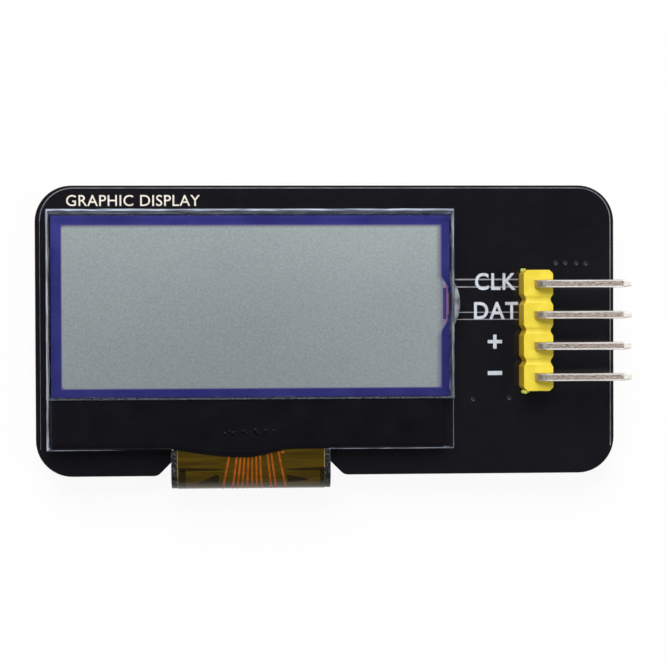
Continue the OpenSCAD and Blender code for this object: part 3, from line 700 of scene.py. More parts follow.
# two signal tracks run from the panel to the header between gaps in the pour, whose edges are drawn pale as a
# painted highlight
tracks = {"from": 10.7, "to": 16.0, "height": 0.03, "edges": {0.12: (4.17, 3.55), 0.075: (1.44, 0.85)}}
for width, rows in tracks["edges"].items():
    gapLines = [[(tracks["from"], y), (tracks["to"], y)] for y in rows]
    gapName = "signalGaps%d" % round(rows[0])
    bands(gapName, gapLines, board["lineZ"], width, tracks["height"], gapHighlight)

# tented vias: a low rim with a dimple
vias = {
    "size": (0.85, 0.85, 1.0), "steps": 20,
    "spots": [(19.13, 5.53), (19.93, 5.52), (20.85, 5.52), (21.65, 5.48), (12.17, -5.79), (15.19, -5.72)],
    "profile": [(0, -0.02), (0.25, -0.02), (0.24, 0.02), (0.2, 0.045), (0.16, 0.035), (0.1, 0.008),
                (0, 0.004)],
}
viaRing = lathe("viaRing", vias["profile"], vias["steps"])
viaPoints = [(onBoard(x, y), 0, vias["size"]) for x, y in vias["spots"]]
spreadParts("tentedVias", viaRing, viaPoints, tentMask)
print("board done")


# Printed legends: words are fitted to a box of left, top, right and bottom

def addWords(bm, words, box, style):
    curve = bpy.data.curves.new("words", "FONT")
    curve.body = words
    curve.offset = style["weight"]
    curve.space_character = style["apart"]
    curve.extrude = 0.1  # any thickness, as the film's is set below
    curve.resolution_u = 4
    holder = bpy.data.objects.new("words", curve)
    scene.collection.objects.link(holder)
    depsgraph = bpy.context.evaluated_depsgraph_get()
    mesh = bpy.data.meshes.new_from_object(holder.evaluated_get(depsgraph))
    bpy.data.objects.remove(holder)
    across = [v.co.x for v in mesh.vertices]
    upward = [v.co.y for v in mesh.vertices]
    left, right, low, high = min(across), max(across), min(upward), max(upward)
    for v in mesh.vertices:
        x = box[0] + (v.co.x - left) / (right - left) * (box[2] - box[0])
        y = box[3] + (v.co.y - low) / (high - low) * (box[1] - box[3])
        v.co = onBoard(x, y, style["film"] if v.co.z > 0 else -style["film"])
    bm.from_mesh(mesh)
    bpy.data.meshes.remove(mesh)


pinLegends = {
    "weight": 0.018, "apart": 1.1, "film": 0.022,
    "words": [("CLK", (12.37, 4.71, 15.80, 3.28)), ("DAT", (12.28, 2.30, 15.98, 0.86)),
              ("+", (13.42, -0.42, 14.62, -1.60)), ("-", (13.42, -3.46, 14.62, -3.80))],
}
caption = {
    "weight": 0.004, "apart": 1.05, "film": 0.016,
    "words": [("GRAPHIC DISPLAY", (-21.41, 11.22, -10.43, 10.30))],
}
for name, style, ink in (("pinLegends", pinLegends, legendInk), ("captionLegend", caption, captionInk)):
    bm = bmesh.new()
    for words, wordBox in style["words"]:
        addWords(bm, words, wordBox, style)
    bmesh.ops.remove_doubles(bm, verts=bm.verts[:], dist=weldGap)
    addPiece(name, bm, [ink])
print("legends done")


# Display panel

# the value at t on a broken line of stops
def between(stops, t):
    for (t0, v0), (t1, v1) in zip(stops, stops[1:]):
        if t <= t1:
            return v0 + (v1 - v0) * (t - t0) / (t1 - t0)


breakage = {  # for both plates
    "step": 0.3, "gap": 0.004, "ridgeHigh": 0.72, "smooth": 20,
    "fine": 4.3, "fineShare": 0.5, "ridgeShare": 0.3,  # finer chips, and what the ridge takes of them all
}


# glass is scribed and broken: its upper edge is a ragged frosted slope in two facets, wider at some sides
def brokenPlate(name, nodeName, plate, face):
    low, high = boardBox(nodeName)
    inset = plate["slope"]
    low.x -= plate["spare"]
    corners = [(low.x, low.y), (high.x, low.y), (high.x, high.y), (low.x, high.y)]
    inner = [(low.x + inset["left"], low.y + inset["low"]), (high.x - inset["right"], low.y + inset["low"]),
             (high.x - inset["right"], high.y - inset["top"]), (low.x + inset["left"], high.y - inset["top"])]
    wall, ridge, crest, alongY = [], [], [], []
    for side, sideName in enumerate(("low", "right", "top", "left")):
        (x0, y0), (x1, y1) = corners[side], corners[(side + 1) % 4]
        (u0, v0), (u1, v1) = inner[side], inner[(side + 1) % 4]
        steps = int(max(abs(x1 - x0), abs(y1 - y0)) / breakage["step"])
        for i in range(steps):
            t = i / steps
            outer = Vector((x0 + (x1 - x0) * t, y0 + (y1 - y0) * t, 0))
            top = Vector((u0 + (u1 - u0) * t, v0 + (v1 - v0) * t, 0))
            if sideName == "low":
                top = outer + (top - outer) * between(plate["worn"], t)
            bite = noise.noise(outer * plate["chips"] + Vector((0, 0, low.z)))
            bite += noise.noise(outer * plate["chips"] * breakage["fine"]) * breakage["fineShare"]
            bite *= plate["ragged"][sideName] if i else 0
            wall.append(outer)
            crest.append(top + (outer - top) * bite)
            ridge.append(outer + (top - outer) * (plate["ridge"][sideName] + breakage["ridgeShare"] * bite))
            alongY.append(int(sideName in plate["across"]))
    bottomZ, topZ = low.z + breakage["gap"], high.z - breakage["gap"]
    shoulderZ = bottomZ + (topZ - bottomZ) * plate["shoulder"]
    ridgeZ = shoulderZ + (topZ - shoulderZ) * breakage["ridgeHigh"]
    levels = ((wall, bottomZ), (wall, shoulderZ), (ridge, ridgeZ), (crest, topZ))
    bm = bmesh.new()
    facets = loft(bm, [[onBoard(p.x, p.y, z) for p in ring] for ring, z in levels])[1]
    for k, facet in enumerate(facets):
        facet.material_index = 1 + 2 * (k // len(alongY)) + alongY[k % len(alongY)]
    addPiece(name, bm, [face] + edgeFinishes, nodeName, breakage["smooth"])


frontPlate = {
    "slope": {"left": 0.32, "right": 0.34, "top": 0.46, "low": 0.26},
    "ridge": {"left": 0.56, "right": 0.60, "top": 0.34, "low": 0.58},
    "ragged": {"left": 0.3, "right": 0.45, "top": 0.16, "low": 0.4},
    "worn": [(0, 1), (1, 1)],  # how much of the low slope is left, along the edge
    # the low side takes the Y finishes for their lighter inner facet and short streaks across it: painted
    # light and painted glints on an edge facing away from the lamps
    "across": ("left", "right", "low"),  # sides with streaks along Y
    "spare": 0.0,  # width beyond the solid
    "chips": 0.9, "shoulder": 0.4,
}
rearPlate = {
    "slope": {"left": 0.26, "right": 0.10, "top": 0.06, "low": 0.10},
    "ridge": {"left": 0.70, "right": 0.6, "top": 0.5, "low": 0.88},
    "ragged": {"left": 0.3, "right": 0.4, "top": 0.3, "low": 0.4},
    "worn": [(0, 1.4), (0.10, 1.2), (0.2, 0.2), (0.62, 0.2), (0.67, 1.7), (1, 1.9)],
    "across": ("left", "right"), "spare": 0.09,
    "chips": 0.7, "shoulder": 0.68,
}
brokenPlate("frontGlass", "front_glass", frontPlate, bondedGlass)
brokenPlate("rearGlass", "rear_glass", rearPlate, floatGlass)

frontFilm = {"edgeRound": 0.03}
addSolid("frontFilm", "front_polariser", filmSkin, frontFilm["edgeRound"])

# the seal is blue up to the film's upper edge and dark past it
seal = {"islandHalf": 1.5, "islandRound": 0.1, "islandSegments": 4, "islandTurn": 1}
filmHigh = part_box("front_polariser")[1]
sealMid = onBoard(pictureRight, pictureMid.y)
bm = nodeCopy("cell_seal")
sealParts = bm.verts[:] + bm.edges[:] + bm.faces[:]
bmesh.ops.bisect_plane(bm, geom=sealParts, plane_co=filmHigh, plane_no=(0, 1, 0))


def onIsland(place):
    return place.x > sealMid.x and abs(place.y - sealMid.y) < seal["islandHalf"] * mm


uprights = [e for e in bm.edges if (e.verts[0].co - e.verts[1].co).xy.length < weldGap
            and onIsland(e.verts[0].co) and e.calc_face_angle_signed() > seal["islandTurn"]]
print("island corners rounded:", len(uprights))
roundEdges(bm, uprights, seal["islandRound"], seal["islandSegments"])
for face in bm.faces:
    middle = face.calc_center_median()
    face.material_index = 2 if onIsland(middle) else 0 if middle.y < filmHigh.y else 1
addPiece("cellSeal", bm, [sealBlue, sealDark, sealIsland], "cell_seal")

addSolid("crystalFill", "liquid_crystal", greyCrystal)

bead = {"edgeRound": 0.2, "edgeSegments": 5, "edgeTurn": 40, "thinInside": 0.02, "smooth": 60}
bm = nodeCopy("end_seal")
softenEdges(bm, bead["edgeRound"], bead["edgeSegments"], bead["edgeTurn"])
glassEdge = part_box("front_glass")[1].x - bead["thinInside"] * mm
for face in bm.faces:
    face.material_index = 0 if face.calc_center_median().x > glassEdge else 1
addPiece("portBead", bm, [clearGlue, thinGlue], "end_seal", bead["smooth"])

keptSolids = {"rear_polariser": silverFilm, "panel_tape": foamTape, "driver_chip": bareSilicon}
for nodeName, material in keptSolids.items():
    nodes[nodeName].data.materials[0] = material
print("panel done")

# Silicone on the ledge: a low cushion with a round shore, swelling out over the root of the flex
silicone = {
    "shore": -9.695, "shoreRound": 0.4, "swell": 0.68, "swellMiddle": -6.805,
    "swellLeft": 6.1, "swellRight": 4.0, "leftPower": 1.4, "rightPower": 2,
    "columns": 200, "rows": 26, "rowPower": 1.6,  # rows lie closer at the shore
    "lump": 0.02, "lumpSize": 1.6, "gap": 0.004, "flexReach": 1.0, "flexGap": 0.02, "smooth": 50,
}
coatLow, coatHigh = boardBox("ledge_coating")
flexLow, flexHigh = boardBox("flex_circuit")


def shoreLine(x):
    away = x - silicone["swellMiddle"]
    side = "Left" if away < 0 else "Right"
    away /= silicone["swell" + side]
    bulge = (1 - away ** 2) ** silicone[side.lower() + "Power"] if abs(away) < 1 else 0
    return silicone["shore"] - silicone["swell"] * bulge


rings = []
for i in range(silicone["columns"] + 1):
    x = coatLow.x + (coatHigh.x - coatLow.x) * i / silicone["columns"]
    shoreY = shoreLine(x)
    upper, lower = [], []
    for j in range(silicone["rows"] + 1):
        y = shoreY + (coatHigh.y - shoreY) * (j / silicone["rows"]) ** silicone["rowPower"]
        inward = min(1.0, min(y - shoreY, x - coatLow.x) / silicone["shoreRound"])
        dome = math.sqrt(1 - (1 - inward) ** 2)
        lump = noise.noise(Vector((x, y, 0)) / silicone["lumpSize"]) * silicone["lump"]
        overFlex = flexLow.x < x < flexHigh.x and y < silicone["shore"] + silicone["flexReach"]
        base = flexHigh.z + silicone["flexGap"] if overFlex else coatLow.z
        height = (coatHigh.z - silicone["lump"] - coatLow.z) * dome + lump * inward
        upper.append(onBoard(x, y, max(base, coatLow.z + height) + silicone["gap"]))
        lower.append(onBoard(x, y, base + silicone["gap"] / 2))
    rings.append(upper + lower[::-1])
bm = bmesh.new()
coatRows = loft(bm, rings, False)[0]
for ring in (coatRows[0], coatRows[-1]):
    for j in range(silicone["rows"]):
        bm.faces.new((ring[j], ring[j + 1], ring[-2 - j], ring[-1 - j]))
faceOutward(bm)
addPiece("ledgeSilicone", bm, [blackSilicone], "ledge_coating", silicone["smooth"])

# bubbles that came up in the silicone over the bonded lines: places and sizes
bubbles = {
    "under": 0.03, "steps": 16,  # set this far below the top of the coat
    "spots": [(-8.42, -8.46, 0.9), (-8.05, -8.28, 0.8), (-7.74, -8.40, 1.0), (-7.45, -8.30, 0.7),
              (-6.88, -8.26, 1.0), (-6.70, -8.44, 0.7), (-5.92, -8.20, 1.1), (-5.74, -8.42, 0.8),
              (-5.08, -8.22, 0.9), (-4.42, -8.24, 0.8)],
    "profile": [(0, -0.05), (0.2, -0.05), (0.2, 0), (0.17, 0.025), (0.1, 0.045), (0, 0.05)],
}
bubble = lathe("bubble", bubbles["profile"], bubbles["steps"])
bubbleZ = coatHigh.z - bubbles["under"]
bubblePoints = [(onBoard(x, y, bubbleZ), 0, (size, size, size)) for x, y, size in bubbles["spots"]]
spreadParts("siliconeBubbles", bubble, bubblePoints, bubbleShadeSkin)
print("silicone done")

# Flex, folded round the edge of the board: strips are drawn flat and laid round by the fold tree
flex = {
    "tail": 6.4, "backingTail": 4.2, "bond": 3.0, "backingBond": 1.8, "foldSteps": 56, "stepGap": 0.01,
    "filmThick": 0.04, "filmSlope": 0.06, "filmCut": (1, 2, 4, 5),  # sides of its section that were cut
    "backingThick": 0.118, "backingSlope": 0.02, "backingGap": 0.002,
    "lineWidth": 0.17, "lineHigh": 0.02, "lineSlope": 0.012, "sunk": 0.01,  # lines start inside the film
    "lineBond": 2.9, "lineTail": 6.35, "edgePitch": 0.30, "foldPitch": 0.40, "tailPitch": 0.8,
    "slots": (0, 2, 3, 4, 5, 6, 7, 8, 10, 11, 13), "slotMiddle": 6.5, "lineShift": 0.26,
    "blob": {"x": -3.71, "width": 0.25, "slope": 0.015, "from": 1.72, "to": 1.5},
}
flexRadius = (flexHigh.z - flexLow.z) / 2
flexMidX = (flexLow.x + flexHigh.x) / 2
foldY = flexHigh.y - flex["tail"]
foldZ = (flexHigh.z + flexLow.z) / 2
halfTurn = math.pi * flexRadius
foldOut = foldY - flexRadius
foldPlace = onBoard(0, foldY, foldZ)


# plan position of a flat one: above the fold, round it, or on the back
def planY(flatY):
    bent = min(max(-flatY / flexRadius, 0), math.pi)
    return foldY + max(flatY, 0) + max(-flatY - halfTurn, 0) - flexRadius * math.sin(bent)


def stations(start, end):
    steps = [-halfTurn * i / flex["foldSteps"] for i in range(flex["foldSteps"] + 1)]
    return [start] + [y for y in steps if end + flex["stepGap"] < y < start - flex["stepGap"]] + [end]


def newStrips():
    bm = bmesh.new()
    bm.faces.layers.int.new("cut")
    return bm


# section: pairs of sideways place and height above the flex's outer face
def addStrip(bm, centreAt, section, start, end, cutSides=()):
    cutLayer = bm.faces.layers.int["cut"]
    rings = []
    for y in stations(start, end):
        middle = boardMid.x / mm + centreAt(y)
        rings.append([((middle + dx) * mm, y * mm, dz * mm) for dx, dz in section])
    for k, face in enumerate(loft(bm, rings)[1]):
        face[cutLayer] = int(k % len(section) in cutSides)


def foldStrips(name, bm, finish, cutEdge, nodeName):
    dress(runTree(newObject(name, bm), foldTree, {
        "Radius": flexRadius * mm, "Fold Y": foldPlace.y, "Fold Z": foldPlace.z,
        "Finish": finish, "Cut Edge": cutEdge}), nodeName)


def sheetSection(width, low, high, slope):
    half = width / 2
    drop = min(slope, (high - low) / 2)
    return [(-half, low), (half, low), (half, high - drop), (half - slope, high), (slope - half, high),
            (-half, high - drop)]


backingLow, backingHigh = boardBox("flex_backing")
backingTop = -flex["filmThick"] - flex["backingGap"]
backingSection = sheetSection(
    backingHigh.x - backingLow.x, -flex["filmThick"] - flex["backingThick"], backingTop, flex["backingSlope"])
bm = newStrips()
addStrip(bm, lambda y: flexMidX, backingSection, flex["backingBond"], -halfTurn - flex["backingTail"])
foldStrips("flexBacking", bm, blackFilm, blackFilm, "flex_backing")

filmSection = sheetSection(flexHigh.x - flexLow.x, -flex["filmThick"], 0, flex["filmSlope"])
bm = newStrips()
addStrip(bm, lambda y: flexMidX, filmSection, flex["bond"], -halfTurn - flex["tail"], flex["filmCut"])
foldStrips("flexFilm", bm, amberFilm, amberCutHighlight, "flex_circuit")


# a line's middle fans out evenly in plan, first to the fold and then along the back
def linePlace(slot):
    edgeY = foldY + flex["backingBond"]

    def middle(flatY):
        y = planY(flatY)
        if flatY > -halfTurn / 2:
            share = (edgeY - y) / (edgeY - foldOut)
            pitch = flex["edgePitch"] + (flex["foldPitch"] - flex["edgePitch"]) * share
        else:
            share = (y - foldOut) / (flexHigh.y - foldOut)
            pitch = flex["foldPitch"] + (flex["tailPitch"] - flex["foldPitch"]) * share
        return flexMidX + flex["lineShift"] + (slot - flex["slotMiddle"]) * pitch
    return middle


lineSection = sheetSection(flex["lineWidth"], -flex["sunk"], flex["lineHigh"], flex["lineSlope"])
bm = newStrips()
for slot in flex["slots"]:
    addStrip(bm, linePlace(slot), lineSection, flex["lineBond"], -halfTurn - flex["lineTail"])
blob = flex["blob"]
blobSection = sheetSection(blob["width"], -flex["sunk"], flex["lineHigh"], blob["slope"])
addStrip(bm, lambda y: blob["x"], blobSection, blob["from"], blob["to"])
foldStrips("flexLines", bm, etchedCopper, etchedCopper, "flex_traces")

# ground copper on the far side darkens the film: bars by their sides and wings by corners, in the flat
shade = {
    "high": 0.003, "slope": 0.002, "wingStep": 0.06, "wingTrim": 0.01,
    "bars": [(-12.2, -11.65, 0.14, -2.4), (-0.64, -0.26, 0.14, -2.4)],
    "wings": [[(-12.22, 0.38), (-8.5, 0.25), (-8.5, 0.13), (-12.22, 0.06)],
              [(-3.4, 0.25), (-0.25, 0.36), (-0.25, 0.06), (-3.4, 0.13)],
              [(-10.9, -1.12), (-9.2, -0.20), (-8.9, -0.30), (-9.05, -1.14)],
              [(-3.39, -0.25), (-1.6, -0.62), (-1.7, -0.75), (-3.3, -0.97)]],
}


# left and right side of a convex outline at one height
def spanAt(corners, y):
    crossed = []
    for (x0, y0), (x1, y1) in zip(corners, corners[1:] + corners[:1]):
        if min(y0, y1) <= y <= max(y0, y1) and y0 != y1:
            crossed.append(x0 + (x1 - x0) * (y - y0) / (y1 - y0))
    return min(crossed), max(crossed)


bm = newStrips()
for left, right, high, low in shade["bars"]:
    addStrip(bm, lambda y, middle=(left + right) / 2: middle,
             sheetSection(right - left, -flex["sunk"], shade["high"], shade["slope"]), high, low)
for corners in shade["wings"]:
    wingFrom = max(y for x, y in corners) - shade["wingTrim"]
    wingTo = min(y for x, y in corners) + shade["wingTrim"]
    wingRows = int((wingFrom - wingTo) / shade["wingStep"]) + 1
    rings = []
    for i in range(wingRows + 1):
        y = wingFrom + (wingTo - wingFrom) * i / wingRows
        left, right = [x + boardMid.x / mm for x in spanAt(corners, y)]
        foot, top = -flex["sunk"], shade["high"]
        wingSection = ((left, foot), (right, foot), (right, top), (left, top))
        rings.append([(x * mm, y * mm, z * mm) for x, z in wingSection])
    loft(bm, rings)
foldStrips("flexShade", bm, amberShade, amberShade, None)
print("flex done")

# Pin header
header = {
    "edgeRound": 0.035, "wallTurn": 0.3,
    "grooveRound": 0.2, "grooveSegments": 4, "grooveTurn": 0.4, "grooveUp": 0.7,
    "flash": [(15.95, 4.86, 2.30, 0.17), (16.15, 4.91, 2.36, 0.10), (15.98, -5.07, 2.30, 0.14),
              (16.22, -5.09, 2.28, 0.17), (16.42, -5.05, 2.32, 0.10)],  # places and radii of the crumbs
    "flashLump": 0.45, "flashLumpSize": 0.09, "flashFlat": 0.7, "flashSmooth": 50,
}
bm = nodeCopy("header_body")
grooves = [e for e in bm.edges if e.calc_face_angle() > header["grooveTurn"]
           and all(f.normal.z > header["grooveUp"] for f in e.link_faces)]
roundEdges(bm, grooves, header["grooveRound"], header["grooveSegments"])
softenEdges(bm, header["edgeRound"])
for face in bm.faces:
    face.material_index = int(abs(face.normal.z) < header["wallTurn"])
addPiece("headerMoulding", bm, [yellowNylon, nylonSidePaintedGlow], "header_body")

bm = bmesh.new()
for x, y, z, radius in header["flash"]:
    for vert in bmesh.ops.create_icosphere(bm, subdivisions=2, radius=radius * mm)["verts"]:
        lump = noise.noise(vert.co / (header["flashLumpSize"] * mm) + Vector((x, y, 0)))
        vert.co *= 1 + header["flashLump"] * lump
        vert.co.z *= header["flashFlat"]
        vert.co += onBoard(x, y, z)
addPiece("headerFlash", bm, [nylonFlash], None, header["flashSmooth"])

# a pin is square wire with worn corners, lofted along its bent path from the tail to the tip
pin = {
    "count": 4, "side": 0.64, "tipSide": 0.42, "taper": 0.68, "bend": 0.38, "bendSteps": 12,
    "corner": [(0.125, 0), (0.03, 0.08), (0, 0.15)],  # from the flat to the side, in and down
    "legShare": 0.15, "wearRate": 1.5,  # the leg fills its square hole, so its corners are sharper
    "crest": 5,  # the bending tool burnished the bend from this step on
    # from this step on the corners take the whiter finish, a painted highlight
    "brightFrom": 10,  # and the corners catch light from this step on
    "smooth": 20,
}
pinNames = ["header_pin_%d" % i for i in range(1, pin["count"] + 1)]
pinHalf = pin["side"] / 2
turnRadius = pin["bend"] + pinHalf
pinFinishes = [tinnedBrass, coinedEdgeHighlight, mattTin, burnishedTin]
for i, nodeName in enumerate(pinNames):
    low, high = boardBox(nodeName)
    legX, midY, armZ = low.x + pinHalf, (low.y + high.y) / 2, high.z - pinHalf
    bendX, bendZ = legX + turnRadius, armZ - turnRadius
    leg = [(legX, low.z, 0, pin["tipSide"], 1), (legX, low.z + pin["taper"], 0, pin["side"], 1),
           (legX, low.z + 2 * pin["taper"], 0, pin["side"], pin["legShare"])]
    bend = []
    for step in range(pin["bendSteps"] + 1):
        a = math.pi / 2 * step / pin["bendSteps"]
        worn = min(1, pin["legShare"] + pin["wearRate"] * step / pin["bendSteps"])
        x, z = bendX - turnRadius * math.cos(a), bendZ + turnRadius * math.sin(a)
        bend.append((x, z, a, pin["side"], worn))
    arm = [(high.x - pin["taper"], armZ, math.pi / 2, pin["side"], 1),
           (high.x, armZ, math.pi / 2, pin["tipSide"], 1)]
    rings = []
    for x, z, a, side, worn in leg + bend + arm:
        size = worn * side / pin["side"]
        upper = [(side / 2 - across * size, side / 2 - deep * size) for across, deep in pin["corner"]]
        flank = upper + [(u, -v) for u, v in upper[::-1]]
        section = flank + [(-u, -v) for u, v in flank]
        rings.append([onBoard(x - v * math.cos(a), midY + u, z + v * math.sin(a)) for u, v in section])
    bm = bmesh.new()
    walls, ends = loft(bm, rings)[1:]
    for k, face in enumerate(walls):
        step = k // len(section) - len(leg)
        onTip = k >= len(walls) - len(section)
        burnished = pin["crest"] <= step < pin["bendSteps"] and k % len(section) == len(section) - 1
        bright = step >= pin["brightFrom"] and k % len(flank) in (0, len(flank) - 2)
        look = mattTin if onTip else burnishedTin if burnished else coinedEdgeHighlight if bright else tinnedBrass
        face.material_index = pinFinishes.index(look)
    ends[1].material_index = pinFinishes.index(mattTin)
    faceOutward(bm)
    addPiece("headerPin%d" % (i + 1), bm, pinFinishes, nodeName, pin["smooth"])

joints = {"smooth": 50, "rows": (("headerJoints", "header_solder"), ("flexJoints", "flex_solder"))}
for name, nodeName in joints["rows"]:
    addSolid(name, nodeName, tinSolder, smooth=joints["smooth"])
print("header done")

# Parts on the back
package = {"bodyRound": 0.05, "bodyTurn": 8, "leadRound": 0.025}
packageNames = ("regulator", "shifter_1", "shifter_2")
for name in packageNames:
    addSolid(name + "Body", name + "_body", packageEpoxy, package["bodyRound"],
             package["bodyTurn"])
    addSolid(name + "Leads", name + "_leads", tinnedLead, package["leadRound"])

chip = {"edgeRound": 0.03, "endLength": 0.33, "rimFrom": 0.2, "faceTurn": -0.5}


# a chip has metal ends, and a resistor a glazed face away from the board
def addChip(name, nodeName, body, glaze):
    low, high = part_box(nodeName)
    along = 0 if high.x - low.x > high.y - low.y else 1
    bm = nodeCopy(nodeName)

    def fromEnd(face):
        middle = face.calc_center_median()[along]
        return min(middle - low[along], high[along] - middle) / mm

    # only the metal ends are rounded, up to the narrow rim where they stand proud of the body
    inner = [f for f in bm.faces if fromEnd(f) > chip["rimFrom"]]
    softenEdges(bm, chip["edgeRound"], kept={e for f in inner for e in f.edges})
    for f in bm.faces:
        f.material_index = 2 if fromEnd(f) < chip["endLength"] else int(f.normal.z < chip["faceTurn"])
    addPiece(name, bm, [body, glaze, tinSolder], nodeName)


chipEnds = []  # end places with the direction that each faces
for kind, count, body, glaze, slot in (("capacitor", 8, tanCeramic, tanCeramic, "chip_ceramic"),
                                       ("resistor", 4, whiteCeramic, blackGlaze, "resistor_body")):
    for i in range(1, count + 1):
        nodeName = "%s_%d" % (kind, i)
        addChip(kind + str(i), nodeName, body, glaze)
        low, high = boardBox(nodeName)
        middle = (low + high) / 2
        if high.x - low.x > high.y - low.y:
            chipEnds += [(high.x, middle.y, 0), (low.x, middle.y, 180)]
        else:
            chipEnds += [(middle.x, high.y, 90), (middle.x, low.y, 270)]

# copper on the back: tracks under the ink, tinned pads, joints with hollow fillets, vias and printed marks
back = {
    "z": -boardThick, "trackWide": 0.26, "trackHigh": 0.035, "padHigh": 0.05,
    "markWide": 0.13, "markHigh": 0.018,
    "chipPad": (1.0, 0.75), "padReach": 0.12, "leadPad": (0.6, 0.8), "flexPad": (0.42, -4.95, -4.2),
    "leadToes": ((-0.95, 1.2, 90), (0.95, 1.2, 90), (0, -1.2, 270)),  # off the middle, and where each faces
    "fillet": {"run": 0.3, "rise": 0.32, "half": 0.38, "steps": 6, "lap": 0.02, "sunk": 0.01},
    "leadFillet": (0.8, 0.55, 0.5),
    "ring": [(0, 0), (1.12, 0), (1.12, -0.03), (1.08, -0.04), (0, -0.04)], "ringSteps": 40,
    "viaSpots": [(-2.5, -1.35), (3.0, 6.64), (0.6, 2.64), (5.5, -6.2), (-15.5, 3.0), (-15.5, -3.0),
                 (5.5, 9.0)],
    "packageMark": (1.75, 0.75),  # a line at each side: how far from the middle, and half its length
    "headerMarks": [[(15.9, -5.3), (18.6, -5.3), (18.6, 5.15), (15.9, 5.15), (15.9, -5.36)],
                    [(15.9, 2.47), (15.3, 2.47)]],
    "tracks": [
        [(-11.205, -4.2), (-11.055, -3.9)], [(-8.805, -4.2), (-9.155, -3.85)],
        [(-7.205, -4.2), (-7.255, -3.9)], [(-5.605, -4.2), (-5.355, -3.9)],
        [(-3.205, -4.2), (-3.455, -3.9)], [(-0.805, -4.2), (-1.4, -3.7)],
        [(-9.605, -4.2), (-10.1, -3.7), (-10.1, -2.3), (-10.6, -1.8)],
        [(-8.005, -4.2), (-8.2, -3.8), (-8.2, -2.3), (-8.7, -1.8)],
        [(-6.405, -4.2), (-6.3, -3.8), (-6.3, -2.3), (-6.8, -1.8)],
        [(-4.805, -4.2), (-4.4, -3.8), (-4.4, -2.3), (-4.9, -1.8)],
        [(-2.405, -4.2), (-2.5, -3.9), (-2.5, -1.35)],
        [(-3.455, -1.7), (-3.455, -1.2), (-3.155, -0.9), (1.6, -0.9), (3.5, -2.8), (7.6, -2.8)],
        [(-1.555, -1.7), (-1.555, -0.9)], [(3.0, 6.64), (9.5, 6.64)], [(0.6, 2.64), (9.5, 2.64)],
        [(17.25, 3.74), (16.1, 3.74), (15.6, 4.24), (15.6, 4.8), (15.0, 4.8)],
        [(17.25, 1.2), (16.1, 1.2), (15.7, 0.8), (15.0, 0.8)], [(17.25, -1.34), (13.1, -1.34), (11.9, -2.5)],
        [(17.25, -3.88), (15.2, -3.88), (14.6, -4.5), (13.8, -4.5)],
        [(13.1, 6.4), (12.5, 6.64), (12.0, 6.64)], [(13.1, 4.8), (11.3, 4.8), (10.85, 4.5)],
        [(13.1, 2.4), (12.5, 2.64), (12.0, 2.64)], [(13.1, 0.8), (11.3, 0.8), (10.85, 0.5)],
        [(9.8, -2.56), (8.4, -2.7)],
        [(10.85, -4.7), (10.85, -5.3), (10.45, -5.7), (8.45, -5.7), (8.05, -5.3), (8.05, -4.6)],
        [(13.5, -2.7), (12.5, -2.56), (11.9, -2.56)],
        [(14.9, 6.4), (18.8, 6.4), (19.2, 6.0), (19.2, -0.94), (18.8, -1.34), (17.3, -1.34)],
        [(14.9, 2.47), (19.2, 2.47)],
    ],
}


def stub(x, low, high):
    return [(x, low), (x, high)]


def onBack(spots, size=(1, 1, 1)):
    return [(onBoard(x, y, back["z"]), turned, size) for x, y, turned in spots]


bands("backTracks", back["tracks"], back["z"], back["trackWide"], back["trackHigh"], trackMask)
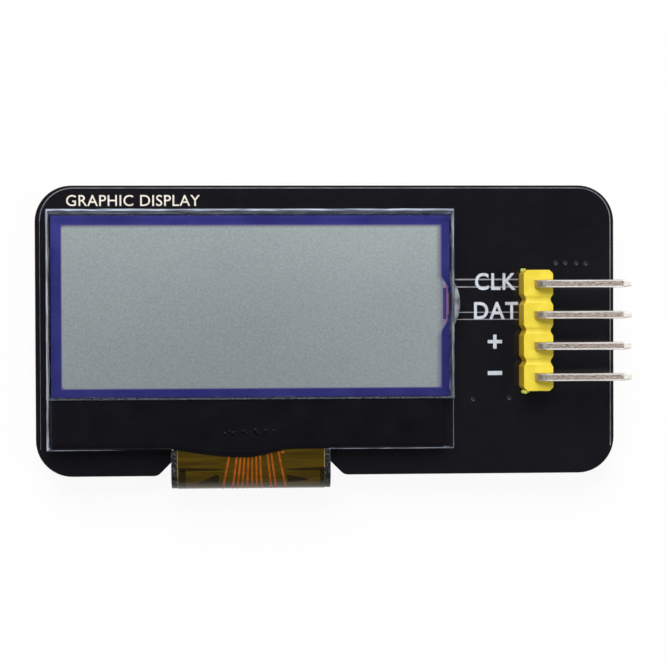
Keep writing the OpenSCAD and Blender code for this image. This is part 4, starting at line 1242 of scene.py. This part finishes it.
# the pour's edge on the back gets the same pale band, a painted highlight
backLine = leftLine[:1] + pourLine
bands("backPour", [backLine], back["z"], pour["width"], pour["height"], stepHighlight)
packageBoxes = [boardBox(name + "_body") for name in packageNames]
packagePlaces = [(low + high) / 2 for low, high in packageBoxes]
leadToes = [(p.x + dx, p.y + dy, turned) for p in packagePlaces for dx, dy, turned in back["leadToes"]]
padWide, padLong = back["chipPad"]
chipPads = []
for x, y, turned in chipEnds:
    out = Vector((math.cos(math.radians(turned)), math.sin(math.radians(turned))))
    sideways = Vector((-out.y, out.x)) * padWide / 2
    at = Vector((x, y)) + out * back["padReach"]
    chipPads.append([(at - sideways).to_tuple(), (at + sideways).to_tuple()])
leadWide, leadLong = back["leadPad"]
leadPads = [stub(x, y - leadLong / 2, y + leadLong / 2) for x, y, turned in leadToes]
flexPadWide, flexPadFrom, flexPadTo = back["flexPad"]
flexPads = []
for slot in flex["slots"]:
    x = flexMidX + flex["lineShift"] + (slot - flex["slotMiddle"]) * flex["tailPitch"]
    flexPads.append(stub(x, flexPadFrom, flexPadTo))
for name, lines, width in (("chipPads", chipPads, padLong), ("leadPads", leadPads, leadWide),
                           ("flexPads", flexPads, flexPadWide)):
    bands(name, lines, back["z"], width, back["padHigh"], tinSolder)

fillet = back["fillet"]
filletTurns = [math.pi / 2 * i / fillet["steps"] for i in range(fillet["steps"])]
wedge = [(-fillet["lap"], fillet["sunk"]), (fillet["run"], fillet["sunk"])]
wedge += [(fillet["run"] * (1 - math.sin(a)), -fillet["rise"] * (1 - math.cos(a))) for a in filletTurns]
wedge += [(0, -fillet["rise"]), (-fillet["lap"], -fillet["rise"])]
bm = bmesh.new()
loft(bm, [[(x * mm, y * fillet["half"] * mm, z * mm) for x, z in wedge] for y in (-1, 1)])
faceOutward(bm)
filletPoints = onBack(chipEnds) + onBack(leadToes, back["leadFillet"])
spreadParts("chipFillets", newObject("fillet", bm), filletPoints, tinSolder)

pinLows = [boardBox(nodeName)[0] for nodeName in pinNames]
pinPoints = onBack((low.x + pinHalf, low.y + pinHalf, 0) for low in pinLows)
spreadParts("headerPads", lathe("padRing", back["ring"], back["ringSteps"]), pinPoints, tinSolder)
backVia = lathe("backVia", [(r, -z) for r, z in vias["profile"]], vias["steps"])
viaPoints = onBack((x, y, 0) for x, y in vias["spots"] + back["viaSpots"])
spreadParts("backVias", backVia, viaPoints, tentMask)

markOut, markHalf = back["packageMark"]
marks = [stub(p.x + dx, p.y - markHalf, p.y + markHalf) for p in packagePlaces for dx in (-markOut, markOut)]
bands("backMarks", marks + back["headerMarks"], back["z"], back["markWide"], back["markHigh"], legendInk)
print("back done")
